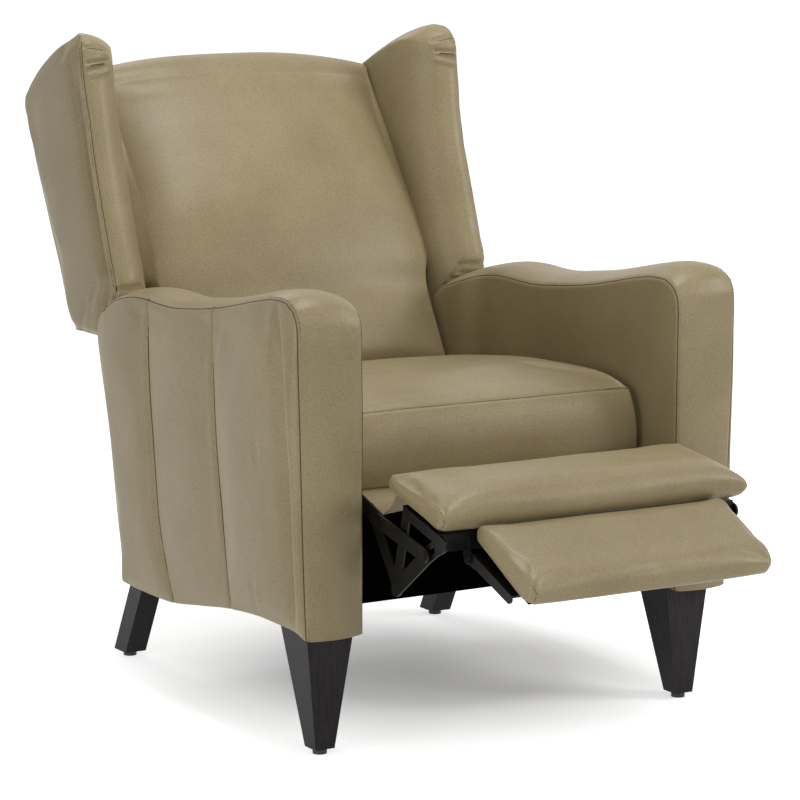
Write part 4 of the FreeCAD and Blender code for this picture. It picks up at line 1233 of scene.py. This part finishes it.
def pads():
    pad_cover("footrest_pad", "footrest", PAD_END, PAD_MIDDLE, PAD_HALF, 7, 0, 11, PAD_KEEP)
    end = on_flipper(FLIPPER_END)
    middle = on_flipper(FLIPPER_MIDDLE)
    pad_cover("extension_pad", "extension", end, middle, FLIPPER_HALF, 8, FLIPPER_FLARE, 3, 1)


FLAP_HALF = 250.0
FLAP_THICK = 0.0016
FLAP_SAG = 7.0
FLAP_WAVE = 2.5
FLAP_LINE = [(39, 387), (20, 378), (-8, 372), (-40, 373), (-75, 388), (-94, 407)]
FLAP_COLUMNS = 60
FLAP_ROWS = 22


def flap_cover():
    """The leather flap between the seat and the pad, sagging and gathered at its ends."""
    rows = spaced(smooth_line(FLAP_LINE), FLAP_ROWS)
    points = []
    for column in range(FLAP_COLUMNS + 1):
        x = -FLAP_HALF + 2 * FLAP_HALF * column / FLAP_COLUMNS
        edge = abs(x) / FLAP_HALF
        for row, (y, z) in enumerate(rows):
            free = math.sin(math.pi * row / FLAP_ROWS)
            sag = FLAP_SAG * free * (0.6 + 0.8 * edge ** 6)
            wave = FLAP_WAVE * noise.noise(Vector((x / 60, y / 45, 3.7))) * free
            points.append((x, y, z - sag + wave))
    faces = grid_faces(FLAP_COLUMNS + 1, len(rows), 0)
    cover = new_object("footrest_flap_cover", to_frame(points), faces)
    thick = cover.modifiers.new("Leather", "SOLIDIFY")
    thick.thickness = FLAP_THICK
    thick.offset = 0
    applied(cover, thick)
    subdivided(cover)
    covering(cover, "footrest", "footrest_flap")
    return cover


# Floor, light and camera.


def backdrop_rays(tree):
    """1 for the rays that see the backdrop itself: the camera's, mirrored and passing ones."""
    path = tree.nodes.new("ShaderNodeLightPath")
    seen = path.outputs["Is Camera Ray"]
    for kind in ("Is Glossy Ray", "Is Transmission Ray"):
        seen = calculated(tree, "MAXIMUM", seen, path.outputs[kind])
    return seen


FLOOR_REACH = 30.0
# The floor's glow is dimmest at this middle and grows outwards: painted shade round the chair, on top of
# its real shadow.
PAINTED_SHADE_MIDDLE = (0.08, 0.06, 0)
GLOW_REACH = 1.6
GLOW_LEVELS_WITH_PAINTED_SHADE = ((0.0, 0.20), (0.13, 0.27), (0.21, 0.50), (0.30, 0.74), (0.75, 1.0))


def studio_floor():
    """A pale floor that keeps the shadow and runs into the white background; its glow is weakest round a
    point near the chair's middle, which paints shade on the floor round the chair.
    """
    corners = [(x * FLOOR_REACH, y * FLOOR_REACH, 0) for x, y in ((-1, -1), (1, -1), (1, 1), (-1, 1))]
    floor = new_object("studio_floor", corners, [(0, 1, 2, 3)], smooth=False)
    material, tree, shader = new_material("pale_floor", 0.9, 0.0)
    shader.inputs["Base Color"].default_value = (*grey(0.80), 1)
    place = tree.nodes.new("ShaderNodeTexCoord").outputs["Object"]
    distance = fed(tree, "VectorMath", 0, place, {})
    distance.operation = "DISTANCE"
    distance.inputs[1].default_value = PAINTED_SHADE_MIDDLE
    share = fed(tree, "MapRange", "Value", distance.outputs["Value"], {"From Max": GLOW_REACH})
    # Low glow near the chair: the floor there is painted darker.
    glow = ramp(tree, share.outputs["Result"], *((reach, grey(level)) for reach, level in GLOW_LEVELS_WITH_PAINTED_SHADE))
    lift = calculated(tree, "MULTIPLY", backdrop_rays(tree), glow)
    shader.inputs["Emission Color"].default_value = (*grey(1), 1)
    tree.links.new(lift, shader.inputs["Emission Strength"])
    floor.data.materials.append(material)


WORLD_LEVEL = 0.21


def studio_world():
    """A dim white sky that the camera sees as full white."""
    world = bpy.data.worlds.new("studio")
    bpy.context.scene.world = world
    world.use_nodes = True
    tree = world.node_tree
    background = tree.nodes["Background"]
    background.inputs["Color"].default_value = (1, 1, 1, 1)
    strength = ranged(tree, backdrop_rays(tree), WORLD_LEVEL, 1.0)
    tree.links.new(strength, background.inputs["Strength"])


# Each light: its place, the point it aims at, its watts, its width and its height.
LIGHTS = {
    "right front": ((3.0, -2.4, 2.2), (0, 0, 0.5), 59, 1.5, 1.2),
    "left": ((-3.4, -0.9, 0.7), (0, 0, 0.5), 37, 2.0, 1.2),
    "front": ((-0.3, -3.8, 1.4), (0, 0, 0.4), 22, 2.0, 1.2),
    "top": ((0.0, -0.3, 3.4), (0, 0, 0.5), 52, 1.4, 1.4),
    "top rear": ((0.0, 2.2, 2.6), (0, 0, 0.7), 9, 1.4, 1.0),
}


def studio_lights():
    for name, (place, target, power, width, height) in LIGHTS.items():
        data = bpy.data.lights.new(name, "AREA")
        data.shape = "RECTANGLE"
        data.size = width
        data.size_y = height
        data.energy = power
        lamp = placed(name, data)
        lamp.location = place
        aim = Vector(target) - Vector(place)
        lamp.rotation_euler = aim.to_track_quat("-Z", "Y").to_euler()


CAMERA_PLACE = (-2.5825, -4.3004, 1.2805)
CAMERA_YAW = 30.81
CAMERA_PITCH = 9.18
CAMERA_LENS = 142.02
CAMERA_SENSOR = 36


def studio_camera():
    data = bpy.data.cameras.new("camera")
    data.lens = CAMERA_LENS
    data.sensor_width = CAMERA_SENSOR
    data.sensor_fit = "HORIZONTAL"
    camera = placed("camera", data)
    camera.location = CAMERA_PLACE
    camera.rotation_euler = (math.radians(90 - CAMERA_PITCH), 0, -math.radians(CAMERA_YAW))
    bpy.context.scene.camera = camera


finish_frame()
studio_camera()
studio_world()
studio_lights()
studio_floor()
arms()
wings()
back_cover()
outside_cover()
stile_wraps()
seat_cover()
border_cover()
pads()
flap = flap_cover()

bpy.context.scene.view_settings.view_transform = "Standard"
